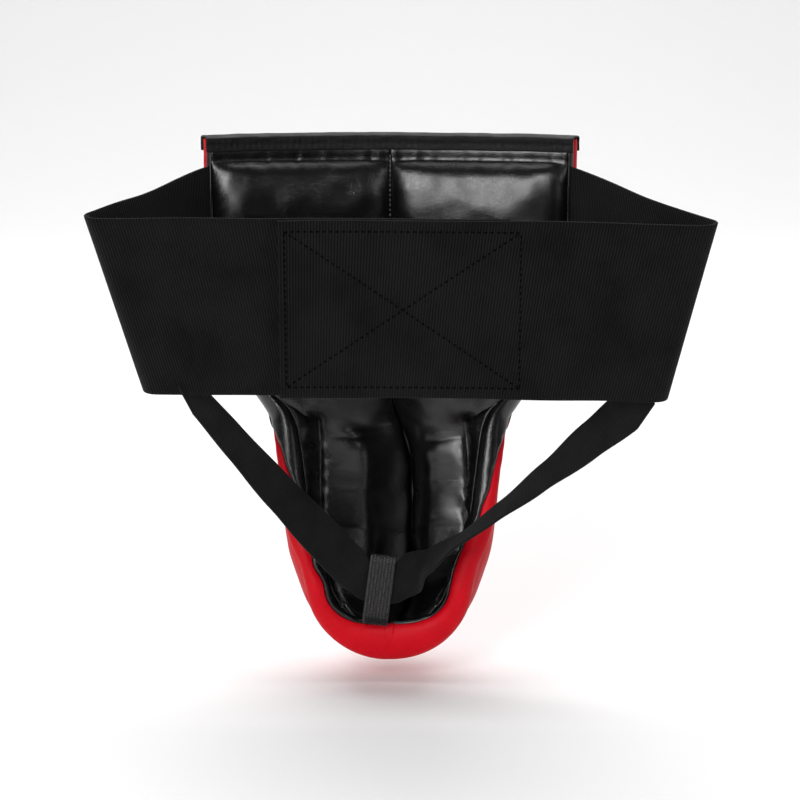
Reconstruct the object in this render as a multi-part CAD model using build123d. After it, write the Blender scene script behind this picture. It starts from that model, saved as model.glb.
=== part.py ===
from build123d import *
import os
from math import atan2, cos, hypot, radians, sin, sqrt, tan

# Groin protector: padded belly panel, curled cup, elastic waist belt that closes with hook and loop,
# and two elastic leg straps that meet in a webbing tab at the foot of the cup.
# Origin: middle of the waist opening, half way up the belt.
# +Z up, +Y away from the wearer, +X to the right when the guard is seen from the wearer's side.

# ---------------------------------------------------------------- guard: overall sizes
PAD_WIDTH = 216.0          # lining of the belly panel, side seam to side seam
PAD_TOP_Z = 82.0           # top edge of the belly panel
PAD_STRAIGHT = 120.0       # height of the straight side edge that the belt is sewn into
BELLY_SAG = 16.0           # how far the middle of the panel curves away from the wearer
PAD_BACK_Y = 50.0          # wearer's side of the panel at its side seams
CUP_WIDTH = 103.0          # mouth of the cup between its rims
CUP_DEPTH = 53.0           # cup behind its rim, at the deepest section
CUP_TOP_Z = -97.0          # where the cup proper starts
CUP_RIM_LENGTH = 95.0      # height of the cup's mouth below that
RIM_TOP_BACK = 3.0         # top of the rim, nearer the wearer than the panel's sides
RIM_LEAN = 15.0            # how far the foot of the rim comes towards the wearer
SHOULDER_STEPS = 4         # sections between the panel and the cup
SHOULDER_DEPTH_CURVE = 1.4
SHOULDER_WIDTH_CURVE = 0.85

# The cup's sections fan round its foot: share of the rim's length, tilt of the section in degrees,
# share of the depth and share of the half width.
CUP_SECTIONS = [
    (0.00, 6, 0.84, 1.10),
    (0.30, 13, 1.00, 1.02),
    (0.54, 24, 1.06, 0.965),
    (0.68, 37, 1.09, 0.90),
    (0.80, 53, 0.98, 0.80),
    (0.91, 68, 0.80, 0.74),
    (1.00, 82, 0.63, 0.70),
]

# ---------------------------------------------------------------- guard: layers of the wall
LINING_T = 1.2
INNER_FOAM_T = 5.6
HARD_CUP_T = 2.6
OUTER_FOAM_T = 3.6
COVER_T = 1.5
WALL_T = LINING_T + INNER_FOAM_T + HARD_CUP_T + OUTER_FOAM_T + COVER_T
RIM_ROLL = 5.0             # foam roll along the cup's rim, beyond the wall's end
ROLL_START = 0.2           # share of the roll's width at the top of the rim
ROLL_GROWTH = 0.4          # share it gains from one cup section to the next
GUSSET_SHARE = 0.72        # where the side gusset of the cup's lining starts, as a share of the section
BINDING_T = 1.0
BINDING_DEPTH = 7.5        # how far the top binding comes down each face

# ---------------------------------------------------------------- belt and closure
BELT_HEIGHT = 101.6
BELT_T = 2.0
BELT_ATTACH_Z = 62.0       # top corner of the belt on the panel's side seam
BELT_NEAR_TOP_Z = 48.5     # top edge where the belt crosses behind the wearer
BELT_NEAR_Y = -76.0        # flap level of the crossing part, top edge
BELT_NEAR_LEAN = 11.0      # the bottom edge of the crossing part lies this far nearer the panel
REACH_LEFT = 175.0         # fold of the left half, top edge
REACH_RIGHT = 193.0        # fold of the right half, top edge
TAPER_LEFT = 33.5          # how much nearer the middle the fold is at the bottom edge
TAPER_RIGHT = 27.5
FOLD_R = 14.0
SEAM_GAP = 1.6             # between the side seam and the end of the elastic
SEAM_DEPTH_SHARE = 0.35    # the seam lies this far through the panel's wall
PATCH_T = 1.2              # hook patch and loop patch
LAYER_GAP = 0.3
PATCH_LEFT_X = -58.0       # box-stitched hook patch
PATCH_RIGHT_X = 78.0
FLAP_END_MARGIN = 2.0      # elastic beyond the patch at the free end
HINGE_MARGIN = 4.0         # elastic between the patch and the line where the flap peels
PATCH_INSET_Z = 4.5
LOOP_MARGIN = 8.0          # loop patch stops this far inside the hook patch's far end

# ---------------------------------------------------------------- straps and tab
STRAP_W = 25.0
STRAP_T = 1.5
STRAP_CLEAR = 0.8          # below the belt's bottom edge
STRAP_INSET_LEFT = 33.0    # strap's middle from the belt's fold, along the bottom edge
STRAP_INSET_RIGHT = 27.0
STRAP_BEHIND = 15.0        # and behind the crossing part
TAB_W = 15.5
TAB_T = 1.3
TAB_FOOT_X = -9.7          # the tab is sewn on a little to the left of the middle
TAB_FOOT_UP = 5.4          # and this far above the lining's end
TAB_STAND = 0.3            # and stands this far clear of the rim
TAB_SEWN = 13.0            # height of the sewn foot
TAB_SLACK = 18.0           # height of the tab's loop beyond the strap's width
TAB_LENGTH = TAB_SEWN + STRAP_W + TAB_SLACK
TAB_LEAN_X = 6.7           # the tab leans this far to +X over its length
TAB_LEAN_Y = -16.8         # and this far towards the wearer
TAB_ROOM = 0.8             # clear space each side of the strap inside the tab's loop
STRAP_FOOT_GAP = 7.988     # the strap's lower edge in the tab, above the sewn foot
STRAP_UP_TAB = TAB_SEWN + STRAP_FOOT_GAP + STRAP_W / 2
STRAP_RISE = 0.35          # rise of the strap for each mm sideways inside the tab
STRAP_ENTRY = 1.5          # the strap lies flat from this far outside the tab
# Twist of each strap out of the plane that faces the wearer: share of its length and degrees.
LEFT_TWIST = [(0.0, 66), (0.21, 59), (0.47, 46), (0.76, 23), (1.0, 0)]
RIGHT_TWIST = [(0.0, 38), (0.36, 54), (0.58, 64), (0.74, 74), (0.85, 62), (1.0, 0)]

# ---------------------------------------------------------------- stitching
THREAD = 0.5
STITCH_LEN = 2.6
STITCH_PITCH = 3.4
STITCH_LIFT = 0.05
STITCH_INSET = 2.0         # stitch line inside the edge of a patch
BOX_CORNER_GAP = 0.5       # clear of each corner of the box, in stitches
CROSS_CORNER_GAP = 1.5     # the cross starts this far inside the box's corners, in stitches
TACK_ROWS = 5              # rows of thread across the tab's foot
TACK_PITCH = 0.9
TACK_INSET = 1.5           # from the tab's edges and end


class Section:
    """Cross-section of the wall: concentric arcs between the rims, in the plane of X and a tilted line."""

    def __init__(self, rim_y, rim_z, mid_y, mid_z, half_width):
        self.rim = (rim_y, rim_z)
        self.mid = (mid_y, mid_z)
        self.half_width = half_width
        depth = hypot(mid_y - rim_y, mid_z - rim_z)
        self.way = ((mid_y - rim_y) / depth, (mid_z - rim_z) / depth)
        self.radius = (half_width**2 + depth**2) / (2 * depth)
        self.centre = (mid_y - self.radius * self.way[0], mid_z - self.radius * self.way[1])
        self.edge = atan2(half_width, self.radius - depth)

    def angle(self, share, beyond=0.0):
        """Angle at a share of the half section, or beyond the rim by a length in mm."""
        return self.edge * share + beyond / (self.radius + WALL_T / 2)

    def point(self, angle, off):
        """Point at an angle from the middle, off mm outwards from the wearer's face."""
        r = self.radius + off
        return Vector(
            r * sin(angle),
            self.centre[0] + r * cos(angle) * self.way[0],
            self.centre[1] + r * cos(angle) * self.way[1],
        )

    def arc(self, a0, a1, off):
        return ThreePointArc(self.point(a0, off), self.point((a0 + a1) / 2, off), self.point(a1, off))

    def pushed(self, length):
        """The same section, moved square to its own plane towards the wearer."""
        dy = self.way[1] * length
        dz = -self.way[0] * length
        rim = (self.rim[0] + dy, self.rim[1] + dz)
        mid = (self.mid[0] + dy, self.mid[1] + dz)
        return Section(*rim, *mid, self.half_width)


def ease(t):
    return t * t * (3 - 2 * t)


def cup_section(share, tilt, depth_share, width_share):
    """Section of the cup, from its place along the rim."""
    rim_y = PAD_BACK_Y - RIM_TOP_BACK - RIM_LEAN * share
    rim_z = CUP_TOP_Z - CUP_RIM_LENGTH * share
    depth = CUP_DEPTH * depth_share
    mid_y = rim_y + depth * cos(radians(tilt))
    mid_z = rim_z - depth * sin(radians(tilt))
    return Section(rim_y, rim_z, mid_y, mid_z, CUP_WIDTH / 2 * width_share)


def panel_section(z):
    return Section(PAD_BACK_Y, z, PAD_BACK_Y + BELLY_SAG, z, PAD_WIDTH / 2)


def shoulder_sections():
    """Sections that carry the straight panel over into the cup."""
    first = panel_section(PAD_TOP_Z - PAD_STRAIGHT)
    last = cup_section(*CUP_SECTIONS[0])
    made = []
    for i in range(1, SHOULDER_STEPS + 1):
        t = i / (SHOULDER_STEPS + 1)
        rim = [a + (b - a) * t for a, b in zip(first.rim, last.rim)]
        depth_first = BELLY_SAG
        depth_last = CUP_DEPTH * CUP_SECTIONS[0][2]
        depth = depth_first + (depth_last - depth_first) * t**SHOULDER_DEPTH_CURVE
        tilt = radians(CUP_SECTIONS[0][1]) * t
        half = first.half_width + (last.half_width - first.half_width) * ease(t) ** SHOULDER_WIDTH_CURVE
        made.append(Section(rim[0], rim[1], rim[0] + depth * cos(tilt), rim[1] - depth * sin(tilt), half))
    return made


PANEL = [panel_section(PAD_TOP_Z), panel_section(PAD_TOP_Z - PAD_STRAIGHT)] + shoulder_sections()
CUP = [cup_section(*row) for row in CUP_SECTIONS]
PANEL.append(CUP[0])
ROLL_END = CUP[-1].pushed(RIM_ROLL)
FOOT = CUP[-1].pushed(RIM_ROLL + COVER_T)


def loft_wires(wires):
    return Solid.make_loft(wires, ruled=True)


def layer(sections, off0, off1, start=None, end=None):
    """Right-hand part of one layer of the wall; start and end give an angle from a section."""
    wires = []
    for i, s in enumerate(sections):
        a0 = start(s, i) if start else 0
        a1 = end(s, i) if end else s.angle(1)
        wires.append(
            Wire(
                [
                    s.arc(a0, a1, off1),
                    Line(s.point(a1, off1), s.point(a1, off0)),
                    s.arc(a1, a0, off0),
                    Line(s.point(a0, off0), s.point(a0, off1)),
                ]
            )
        )
    return loft_wires(wires)


def both(solid):
    """A right-hand solid and its mirror image, as one piece."""
    return solid + solid.mirror(Plane.YZ)


def joined(solids):
    """Solids that share faces, as one piece."""
    whole = solids[0]
    for piece in solids[1:]:
        whole = whole + piece
    return whole


def at_edge(s, i):
    return s.angle(1)


def at_gusset(s, i):
    return s.angle(GUSSET_SHARE)


def at_panel_end(s, i):
    return s.angle(1, COVER_T)


def roll_length(i):
    """Width of the foam roll at cup section i: it grows from the shoulder down."""
    return RIM_ROLL * min(1.0, ROLL_START + ROLL_GROWTH * i)


def at_foot_roll(s, i):
    return s.angle(1, RIM_ROLL)


def at_foot_end(s, i):
    return s.angle(1, RIM_ROLL + COVER_T)


def rim_corner(s, length, off):
    """Point beyond the wall's end at a cup section."""
    return s.point(s.angle(1, length), off)


def rim_roll():
    """Foam roll along the right-hand rim of the cup."""
    wires = []
    for i, s in enumerate(CUP):
        end = roll_length(i)
        ring = [(0, COVER_T), (0, WALL_T - COVER_T), (end, WALL_T - COVER_T), (end, COVER_T)]
        wires.append(Wire.make_polygon([rim_corner(s, *c) for c in ring], close=True))
    return loft_wires(wires)


def rim_cover():
    """Leather turned round the foam roll along the right-hand rim of the cup."""
    wires = []
    for i, s in enumerate(CUP):
        roll = roll_length(i)
        end = roll + COVER_T
        inner = WALL_T - COVER_T
        ring = [
            (0, WALL_T),
            (end, WALL_T),
            (end, 0),
            (0, 0),
            (0, COVER_T),
            (roll, COVER_T),
            (roll, inner),
            (0, inner),
        ]
        wires.append(Wire.make_polygon([rim_corner(s, *c) for c in ring], close=True))
    return loft_wires(wires)


def front_cover():
    """Right-hand half of the front: skin of the panel and the cup, turned round the panel's side."""
    inner = WALL_T - COVER_T
    return joined(
        [
            layer(PANEL, inner, WALL_T),
            layer(PANEL, 0, WALL_T, at_edge, at_panel_end),
            layer(CUP, inner, WALL_T),
        ]
    )


def foot_cover():
    """Right-hand half of the leather turned round the foam roll at the foot of the cup."""
    inner = WALL_T - COVER_T
    foot = [CUP[-1], ROLL_END]
    under = [ROLL_END, FOOT]
    pieces = []
    for start, end in ((None, at_edge), (at_edge, at_foot_roll)):
        pieces.append(layer(foot, inner, WALL_T, start, end))
        pieces.append(layer(foot, 0, COVER_T, start, end))
        pieces.append(layer(under, 0, WALL_T, start, end))
    pieces.append(layer(foot, 0, WALL_T, at_foot_roll, at_foot_end))
    pieces.append(layer(under, 0, WALL_T, at_foot_roll, at_foot_end))
    return joined(pieces)


def foot_roll():
    """Foam roll across the foot of the cup."""
    foot = [CUP[-1], ROLL_END]
    inner = WALL_T - COVER_T
    return both(layer(foot, COVER_T, inner) + layer(foot, COVER_T, inner, at_edge, at_foot_roll))


def top_binding():
    """Folded tape over the panel's top edge."""
    low = panel_section(PAD_TOP_Z - BINDING_DEPTH)
    top = panel_section(PAD_TOP_Z)
    cap = panel_section(PAD_TOP_Z + BINDING_T)
    whole = layer([low, cap], -BINDING_T, WALL_T + BINDING_T, None, at_panel_end)
    inside = layer([low, top], 0, WALL_T, None, at_panel_end)
    return both(whole - inside)


def stitch_rows(runs, out, pitch=STITCH_PITCH):
    """Separate stitches laid end to end between pairs of points, lifted off the cloth along out."""
    made = []
    for a, b in runs:
        way = (b - a).normalized()
        count = int((b - a).length / pitch)
        start = a + way * (((b - a).length - (count - 1) * pitch) / 2)
        for k in range(count):
            spot = start + way * (k * pitch) + out * (THREAD / 2 + STITCH_LIFT)
            place = Plane(origin=spot, x_dir=way, z_dir=out)
            made.append(place * Box(STITCH_LEN, THREAD, THREAD))
    return Compound(children=made)


def binding_stitching():
    """Running stitches along the middle of the top binding, on the wearer's face."""
    s = panel_section(PAD_TOP_Z - BINDING_DEPTH / 2)
    half = s.angle(1) - STITCH_PITCH / s.radius
    count = int(2 * half * s.radius / STITCH_PITCH)
    made = []
    for k in range(count + 1):
        a = -half + 2 * half * k / count
        spot = s.point(a, -BINDING_T - THREAD / 2 - STITCH_LIFT * 2)
        place = Plane(origin=spot, x_dir=(cos(a), -sin(a), 0), z_dir=(0, 0, 1))
        made.append(place * Box(STITCH_LEN, THREAD, THREAD))
    return Compound(children=made)


# ---------------------------------------------------------------- belt
def belt_slope():
    """Rise of the belt's edges towards the panel, in mm for each mm of Y."""
    return (BELT_ATTACH_Z - BELT_NEAR_TOP_Z) / (PAD_BACK_Y - BELT_NEAR_Y)


def seam_point():
    """Foot of the right side seam in plan: outside the panel's turned edge."""
    s = panel_section(0)
    p = s.point(s.angle(1, COVER_T), WALL_T * SEAM_DEPTH_SHARE)
    return p.X + SEAM_GAP, p.Y


SEAM_X, SEAM_Y = seam_point()
LEVEL_STEP = BELT_T + 2 * PATCH_T + LAYER_GAP      # from the flap's level to the left half's level
FLAP_HINGE_X = PATCH_RIGHT_X + HINGE_MARGIN
FLAP_END_X = PATCH_LEFT_X - FLAP_END_MARGIN


def edge_z(y, bottom):
    """Height of the belt's top or bottom edge above a point of the plan."""
    if bottom:
        return BELT_NEAR_TOP_Z - BELT_HEIGHT + belt_slope() * (y - BELT_NEAR_Y - BELT_NEAR_LEAN)
    return BELT_NEAR_TOP_Z + belt_slope() * (y - BELT_NEAR_Y)


def ribbon_outline(plan, bottom, turn):
    """Outline of a ribbon of the belt's thickness along seam, fold and end; turn is +1 for a left turn."""
    seam, fold, end = [Vector(*p) for p in plan]
    way1 = (fold - seam).normalized()
    way2 = (end - fold).normalized()
    side1 = Vector(-way1.Y, way1.X)
    side2 = Vector(-way2.Y, way2.X)
    bend = radians(way1.get_angle(way2))
    back = FOLD_R * tan(bend / 2)
    p1 = fold - way1 * back
    p2 = fold + way2 * back
    centre = p1 + side1 * (FOLD_R * turn)
    middle = (fold - centre).normalized()

    def lifted(p):
        return Vector(p.X, p.Y, edge_z(p.Y, bottom))

    def edge(sign):
        h = sign * BELT_T / 2
        r = FOLD_R - sign * turn * BELT_T / 2
        return (
            lifted(seam + side1 * h),
            lifted(p1 + side1 * h),
            lifted(centre + middle * r),
            lifted(p2 + side2 * h),
            lifted(end + side2 * h),
        )

    a = edge(1)
    b = edge(-1)
    return Wire(
        [
            Line(a[0], a[1]),
            ThreePointArc(a[1], a[2], a[3]),
            Line(a[3], a[4]),
            Line(a[4], b[4]),
            Line(b[4], b[3]),
            ThreePointArc(b[3], b[2], b[1]),
            Line(b[1], b[0]),
            Line(b[0], a[0]),
        ]
    )


def belt_half(side, reach, taper, near_y, end_x):
    """One half of the belt: from its side seam, round the fold, to end_x. side is +1 for the right half."""
    wires = []
    for bottom in (False, True):
        y = near_y + (BELT_NEAR_LEAN if bottom else 0)
        fold_x = side * (reach - (taper if bottom else 0))
        plan = [(side * SEAM_X, SEAM_Y), (fold_x, y), (end_x, y)]
        wires.append(ribbon_outline(plan, bottom, -side))
    return loft_wires(wires)


def crossing_point(x, up, level):
    """Point on the crossing part, from x, share of its height and distance behind the flap's middle."""
    y0 = BELT_NEAR_Y + BELT_NEAR_LEAN + level
    y1 = BELT_NEAR_Y + level
    foot = Vector(x, y0, edge_z(y0, True))
    head = Vector(x, y1, edge_z(y1, False))
    return foot + (head - foot) * up


def crossing_plate(x0, x1, level, thick, inset=0.0):
    """Flat plate between two levels of the belt's crossing part, inset from its top and bottom edges."""
    low = inset / BELT_HEIGHT
    wires = []
    for x in (x0, x1):
        ring = [
            crossing_point(x, low, level - thick / 2),
            crossing_point(x, low, level + thick / 2),
            crossing_point(x, 1 - low, level + thick / 2),
            crossing_point(x, 1 - low, level - thick / 2),
        ]
        wires.append(Wire.make_polygon(ring, close=True))
    return loft_wires(wires)


def flap_stitching():
    """Box and cross of stitches that hold the hook patch on the flap."""
    inset = PATCH_INSET_Z + STITCH_INSET
    low = inset / BELT_HEIGHT
    x0 = PATCH_LEFT_X + STITCH_INSET
    x1 = PATCH_RIGHT_X - STITCH_INSET
    level = -BELT_T / 2
    box = [crossing_point(x, u, level) for x, u in ((x0, low), (x1, low), (x1, 1 - low), (x0, 1 - low))]
    centre = (box[0] + box[2]) * 0.5
    runs = []
    for a, b in zip(box, box[1:] + box[:1]):
        way = (b - a).normalized() * STITCH_PITCH
        runs.append((a + way * BOX_CORNER_GAP, b - way * BOX_CORNER_GAP))
    for a in box:
        way = (centre - a).normalized() * STITCH_PITCH
        runs.append((a + way * CROSS_CORNER_GAP, centre - way * BOX_CORNER_GAP))
    up = (crossing_point(0, 1, 0) - crossing_point(0, 0, 0)).normalized()
    return stitch_rows(runs, Vector(1, 0, 0).cross(up))


# ---------------------------------------------------------------- leg straps and tab
def tab_frame():
    """Foot of the tab on the rim's inner edge, its way up, its width way and its outward way."""
    foot = FOOT.point(0, 0) + Vector(TAB_FOOT_X, -TAB_T - TAB_STAND, TAB_FOOT_UP)
    rise = sqrt(TAB_LENGTH**2 - TAB_LEAN_X**2 - TAB_LEAN_Y**2)
    up = Vector(TAB_LEAN_X, TAB_LEAN_Y, rise).normalized()
    back = Vector(0, -1, 0)
    out = (back - up * back.dot(up)).normalized()
    wide = out.cross(up)
    return foot, up, wide * (1 if wide.X > 0 else -1), out


TAB_FOOT, TAB_UP, TAB_WIDE, TAB_OUT = tab_frame()
TAB_GAP = STRAP_T + 2 * TAB_ROOM


def webbing_tab():
    """Webbing folded into a loop with room for the strap, closed by the fold and sewn at the foot."""
    loop_h = TAB_LENGTH - TAB_SEWN
    depth = TAB_GAP + 2 * TAB_T
    place = Plane(origin=TAB_FOOT + TAB_UP * (TAB_SEWN + loop_h / 2), x_dir=TAB_UP, z_dir=TAB_WIDE)
    outer = extrude(place * SlotOverall(loop_h, depth), TAB_W / 2, both=True)
    inner = extrude(place * SlotOverall(loop_h - 2 * TAB_T, depth - 2 * TAB_T), TAB_W, both=True)
    stem_place = Plane(origin=TAB_FOOT + TAB_UP * ((TAB_SEWN + TAB_T) / 2), x_dir=TAB_UP, z_dir=TAB_WIDE)
    stem = extrude(stem_place * Rectangle(TAB_SEWN + TAB_T, 2 * TAB_T), TAB_W / 2, both=True)
    return (outer + stem) - inner


def tab_bar_tack():
    """Close rows of thread across the tab's sewn foot."""
    made = []
    for k in range(TACK_ROWS):
        up = TACK_INSET + TACK_PITCH * k
        spot = TAB_FOOT + TAB_UP * up + TAB_OUT * (TAB_T + THREAD / 2 + STITCH_LIFT)
        place = Plane(origin=spot, x_dir=TAB_WIDE, z_dir=TAB_OUT)
        made.append(place * Box(TAB_W - 2 * TACK_INSET, THREAD, THREAD))
    return Compound(children=made)


def strap_ring(point, half, thick):
    """Closed ring of a strap's section, from its middle and its half width and half thickness vectors."""
    ring = [point + half + thick, point + half - thick, point - half - thick, point - half + thick]
    return Wire.make_polygon(ring, close=True)


def strap_ends(side):
    """Top of a leg strap under the belt, and where it enters the tab."""
    left = REACH_LEFT - TAPER_LEFT - STRAP_INSET_LEFT
    right = REACH_RIGHT - TAPER_RIGHT - STRAP_INSET_RIGHT
    y = BELT_NEAR_Y + BELT_NEAR_LEAN + STRAP_BEHIND
    twist = radians((LEFT_TWIST if side < 0 else RIGHT_TWIST)[0][1])
    drop = STRAP_CLEAR + STRAP_W / 2 * cos(twist)
    top = Vector(right if side > 0 else -left, y, edge_z(y, True) - drop)
    middle = TAB_FOOT + TAB_UP * STRAP_UP_TAB
    entry = middle + (TAB_WIDE * side + TAB_UP * STRAP_RISE) * (TAB_W / 2 + STRAP_ENTRY)
    return top, entry, middle


def leg_strap(side):
    """Flat elastic from under the belt to the middle of the tab's loop, twisting to lie flat there."""
    top, entry, middle = strap_ends(side)
    along = (entry - top).normalized()
    facing = Vector(-along.Z, 0, along.X).normalized() * (1 if along.X > 0 else -1)
    facing = (facing - along * facing.dot(along)).normalized()
    turned = along.cross(facing)
    turned = turned * (1 if turned.Y > 0 else -1)
    wires = []
    for share, degree in (LEFT_TWIST if side < 0 else RIGHT_TWIST)[:-1]:
        a = radians(degree)
        wide = facing * cos(a) + turned * sin(a)
        middle_here = top + (entry - top) * share
        wires.append(strap_ring(middle_here, wide * (STRAP_W / 2), wide.cross(along) * (STRAP_T / 2)))
    slope = (TAB_WIDE * side + TAB_UP * STRAP_RISE).normalized()
    wide = (TAB_UP - slope * TAB_UP.dot(slope)).normalized()
    flat = TAB_OUT * (STRAP_T / 2)
    flat = flat * (1 if flat.dot(facing.cross(along)) > 0 else -1)
    wires.append(strap_ring(entry, wide * (STRAP_W / 2), flat))
    end = middle + TAB_WIDE * (side * LAYER_GAP / 2)
    wires.append(strap_ring(end, TAB_UP * (STRAP_W / 2 / TAB_UP.dot(wide)), flat))
    return loft_wires(wires)


def parts():
    """Every piece by name."""
    o1 = LINING_T
    o2 = o1 + INNER_FOAM_T
    o3 = o2 + HARD_CUP_T
    o4 = o3 + OUTER_FOAM_T
    cover = front_cover()
    rim = rim_cover()
    foot = foot_cover()
    panel_lining = layer(PANEL, 0, o1)
    cup_lining = layer(CUP, 0, o1, None, at_gusset)
    gusset = layer(CUP, 0, o1, at_gusset)
    roll = rim_roll()
    loop_end = PATCH_RIGHT_X - LOOP_MARGIN
    under_flap = (BELT_T + PATCH_T) / 2
    made = {
        "front_cover_right": cover,
        "front_cover_left": cover.mirror(Plane.YZ),
        "rim_cover_right": rim,
        "rim_cover_left": rim.mirror(Plane.YZ),
        "foot_cover_right": foot,
        "foot_cover_left": foot.mirror(Plane.YZ),
        "panel_lining_right": panel_lining,
        "panel_lining_left": panel_lining.mirror(Plane.YZ),
        "cup_lining_right": cup_lining,
        "cup_lining_left": cup_lining.mirror(Plane.YZ),
        "cup_gusset_right": gusset,
        "cup_gusset_left": gusset.mirror(Plane.YZ),
        "panel_foam": both(layer(PANEL, o1, o4)),
        "cup_inner_foam": both(layer(CUP, o1, o2)),
        "hard_cup": both(layer(CUP, o2, o3)),
        "cup_outer_foam": both(layer(CUP, o3, o4)),
        "rim_roll_right": roll,
        "rim_roll_left": roll.mirror(Plane.YZ),
        "rim_roll_foot": foot_roll(),
        "top_binding": top_binding(),
        "binding_stitching": binding_stitching(),
        "belt_right": belt_half(1, REACH_RIGHT, TAPER_RIGHT, BELT_NEAR_Y, FLAP_HINGE_X + LAYER_GAP),
        "belt_left": belt_half(-1, REACH_LEFT, TAPER_LEFT, BELT_NEAR_Y + LEVEL_STEP, loop_end),
        "closure_flap": crossing_plate(FLAP_END_X, FLAP_HINGE_X, 0, BELT_T),
        "hook_patch": crossing_plate(PATCH_LEFT_X, PATCH_RIGHT_X, under_flap, PATCH_T, PATCH_INSET_Z),
        "loop_patch": crossing_plate(
            PATCH_LEFT_X - LOOP_MARGIN,
            loop_end,
            LEVEL_STEP - under_flap,
            PATCH_T,
            PATCH_INSET_Z,
        ),
        "flap_stitching": flap_stitching(),
        "webbing_tab": webbing_tab(),
        "tab_bar_tack": tab_bar_tack(),
        "leg_strap_left": leg_strap(-1),
        "leg_strap_right": leg_strap(1),
    }
    return made


os.makedirs("parts", exist_ok=True)
for name, shape in parts().items():
    export_step(shape, f"parts/{name}.step")
    print(name, round(shape.volume, 1))
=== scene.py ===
"""Groin protector: padded belly panel, curled cup, elastic waist belt and two leg straps.

Everything is in metres, in the CAD model's frame: +Z up, +Y away from the wearer, +X to the right
seen from the wearer's side.
"""

import logging
from bisect import bisect_right
from dataclasses import dataclass, field
from enum import Enum
from functools import lru_cache
from math import atan2, cos, exp, hypot, pi, radians, sin, sqrt, tan
from typing import Callable, Sequence

import bmesh
import bpy
from mathutils import Matrix, Vector, noise


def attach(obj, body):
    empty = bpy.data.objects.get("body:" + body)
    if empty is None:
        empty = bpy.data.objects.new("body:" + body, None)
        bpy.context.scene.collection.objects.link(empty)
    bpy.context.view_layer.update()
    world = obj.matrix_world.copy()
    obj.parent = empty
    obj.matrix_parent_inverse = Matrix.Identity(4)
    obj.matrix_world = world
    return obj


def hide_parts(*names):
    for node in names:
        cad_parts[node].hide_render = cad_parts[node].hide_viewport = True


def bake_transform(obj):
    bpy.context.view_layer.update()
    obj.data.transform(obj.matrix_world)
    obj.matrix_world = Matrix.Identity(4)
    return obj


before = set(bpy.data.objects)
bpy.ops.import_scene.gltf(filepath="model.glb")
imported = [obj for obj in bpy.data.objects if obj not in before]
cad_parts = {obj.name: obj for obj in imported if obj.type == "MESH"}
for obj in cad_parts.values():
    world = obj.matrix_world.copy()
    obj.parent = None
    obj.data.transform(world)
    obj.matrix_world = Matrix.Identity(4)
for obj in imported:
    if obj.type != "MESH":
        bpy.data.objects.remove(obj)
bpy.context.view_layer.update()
LOG = logging.getLogger("groin_protector")
UP = Vector((0.0, 0.0, 1.0))


class Side(Enum):
    """Which half of the guard, seen from the wearer's side."""

    LEFT = -1
    RIGHT = 1

    @property
    def word(self) -> str:
        """Name of the side as node names spell it."""
        return self.name.lower()


# ---------------------------------------------------------------- small helpers
def smooth(t: float) -> float:
    """Eases a share.

    Args:
        t: share, clamped to 0..1.

    Returns:
        The eased share.
    """
    t = min(1.0, max(0.0, t))
    return t * t * (3 - 2 * t)


def bell(x: float, width: float) -> float:
    """Smooth bump of height 1 at 0.

    Args:
        x: distance from the middle.
        width: distance at which it has mostly faded.

    Returns:
        Height of the bump.
    """
    return exp(-((x / width) ** 2))


def table(rows: Sequence[tuple[float, float]], x: float) -> float:
    """Reads a curve given as points, easing between them.

    Args:
        rows: (x, value) pairs in rising order of x.
        x: where to read it.

    Returns:
        The value at x.
    """
    if x <= rows[0][0]:
        return rows[0][1]
    for (x0, v0), (x1, v1) in zip(rows, rows[1:]):
        if x <= x1:
            return v0 + (v1 - v0) * smooth((x - x0) / (x1 - x0))
    return rows[-1][1]


def ripple(x: float, y: float, z: float, scale: float) -> float:
    """Smooth noise for creases and unevenness.

    Args:
        x, y, z: place in metres.
        scale: size of one swell in metres.

    Returns:
        Noise from about -1 to 1.
    """
    return noise.noise(Vector((x, y, z)) / scale)


def running_lengths(line: Sequence[tuple[float, float]]) -> list[float]:
    """Distances along a line of points.

    Args:
        line: the points.

    Returns:
        The distance to each point, from 0 at the first.
    """
    lengths = [0.0]
    for a, b in zip(line, line[1:]):
        lengths.append(lengths[-1] + hypot(b[0] - a[0], b[1] - a[1]))
    return lengths


# ---------------------------------------------------------------- the wall's form
@dataclass(frozen=True)
class WallSizes:
    """Sizes of the guard's wall, the same as the CAD model's."""

    pad_width: float = 0.216
    pad_top: float = 0.082
    pad_straight: float = 0.120
    belly_sag: float = 0.016
    back_y: float = 0.050
    cup_width: float = 0.103
    cup_depth: float = 0.053
    cup_top: float = -0.097
    rim_length: float = 0.095
    rim_back: float = 0.003
    rim_lean: float = 0.015
    shoulder_steps: int = 4
    depth_curve: float = 1.4
    width_curve: float = 0.85
    thick: float = 0.0145
    roll: float = 0.0065
    cup_rows: tuple = (
        (0.00, 6, 0.84, 1.10),
        (0.30, 13, 1.00, 1.02),
        (0.54, 24, 1.06, 0.965),
        (0.68, 37, 1.09, 0.90),
        (0.80, 53, 0.98, 0.80),
        (0.91, 68, 0.80, 0.74),
        (1.00, 82, 0.63, 0.70),
    )


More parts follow.
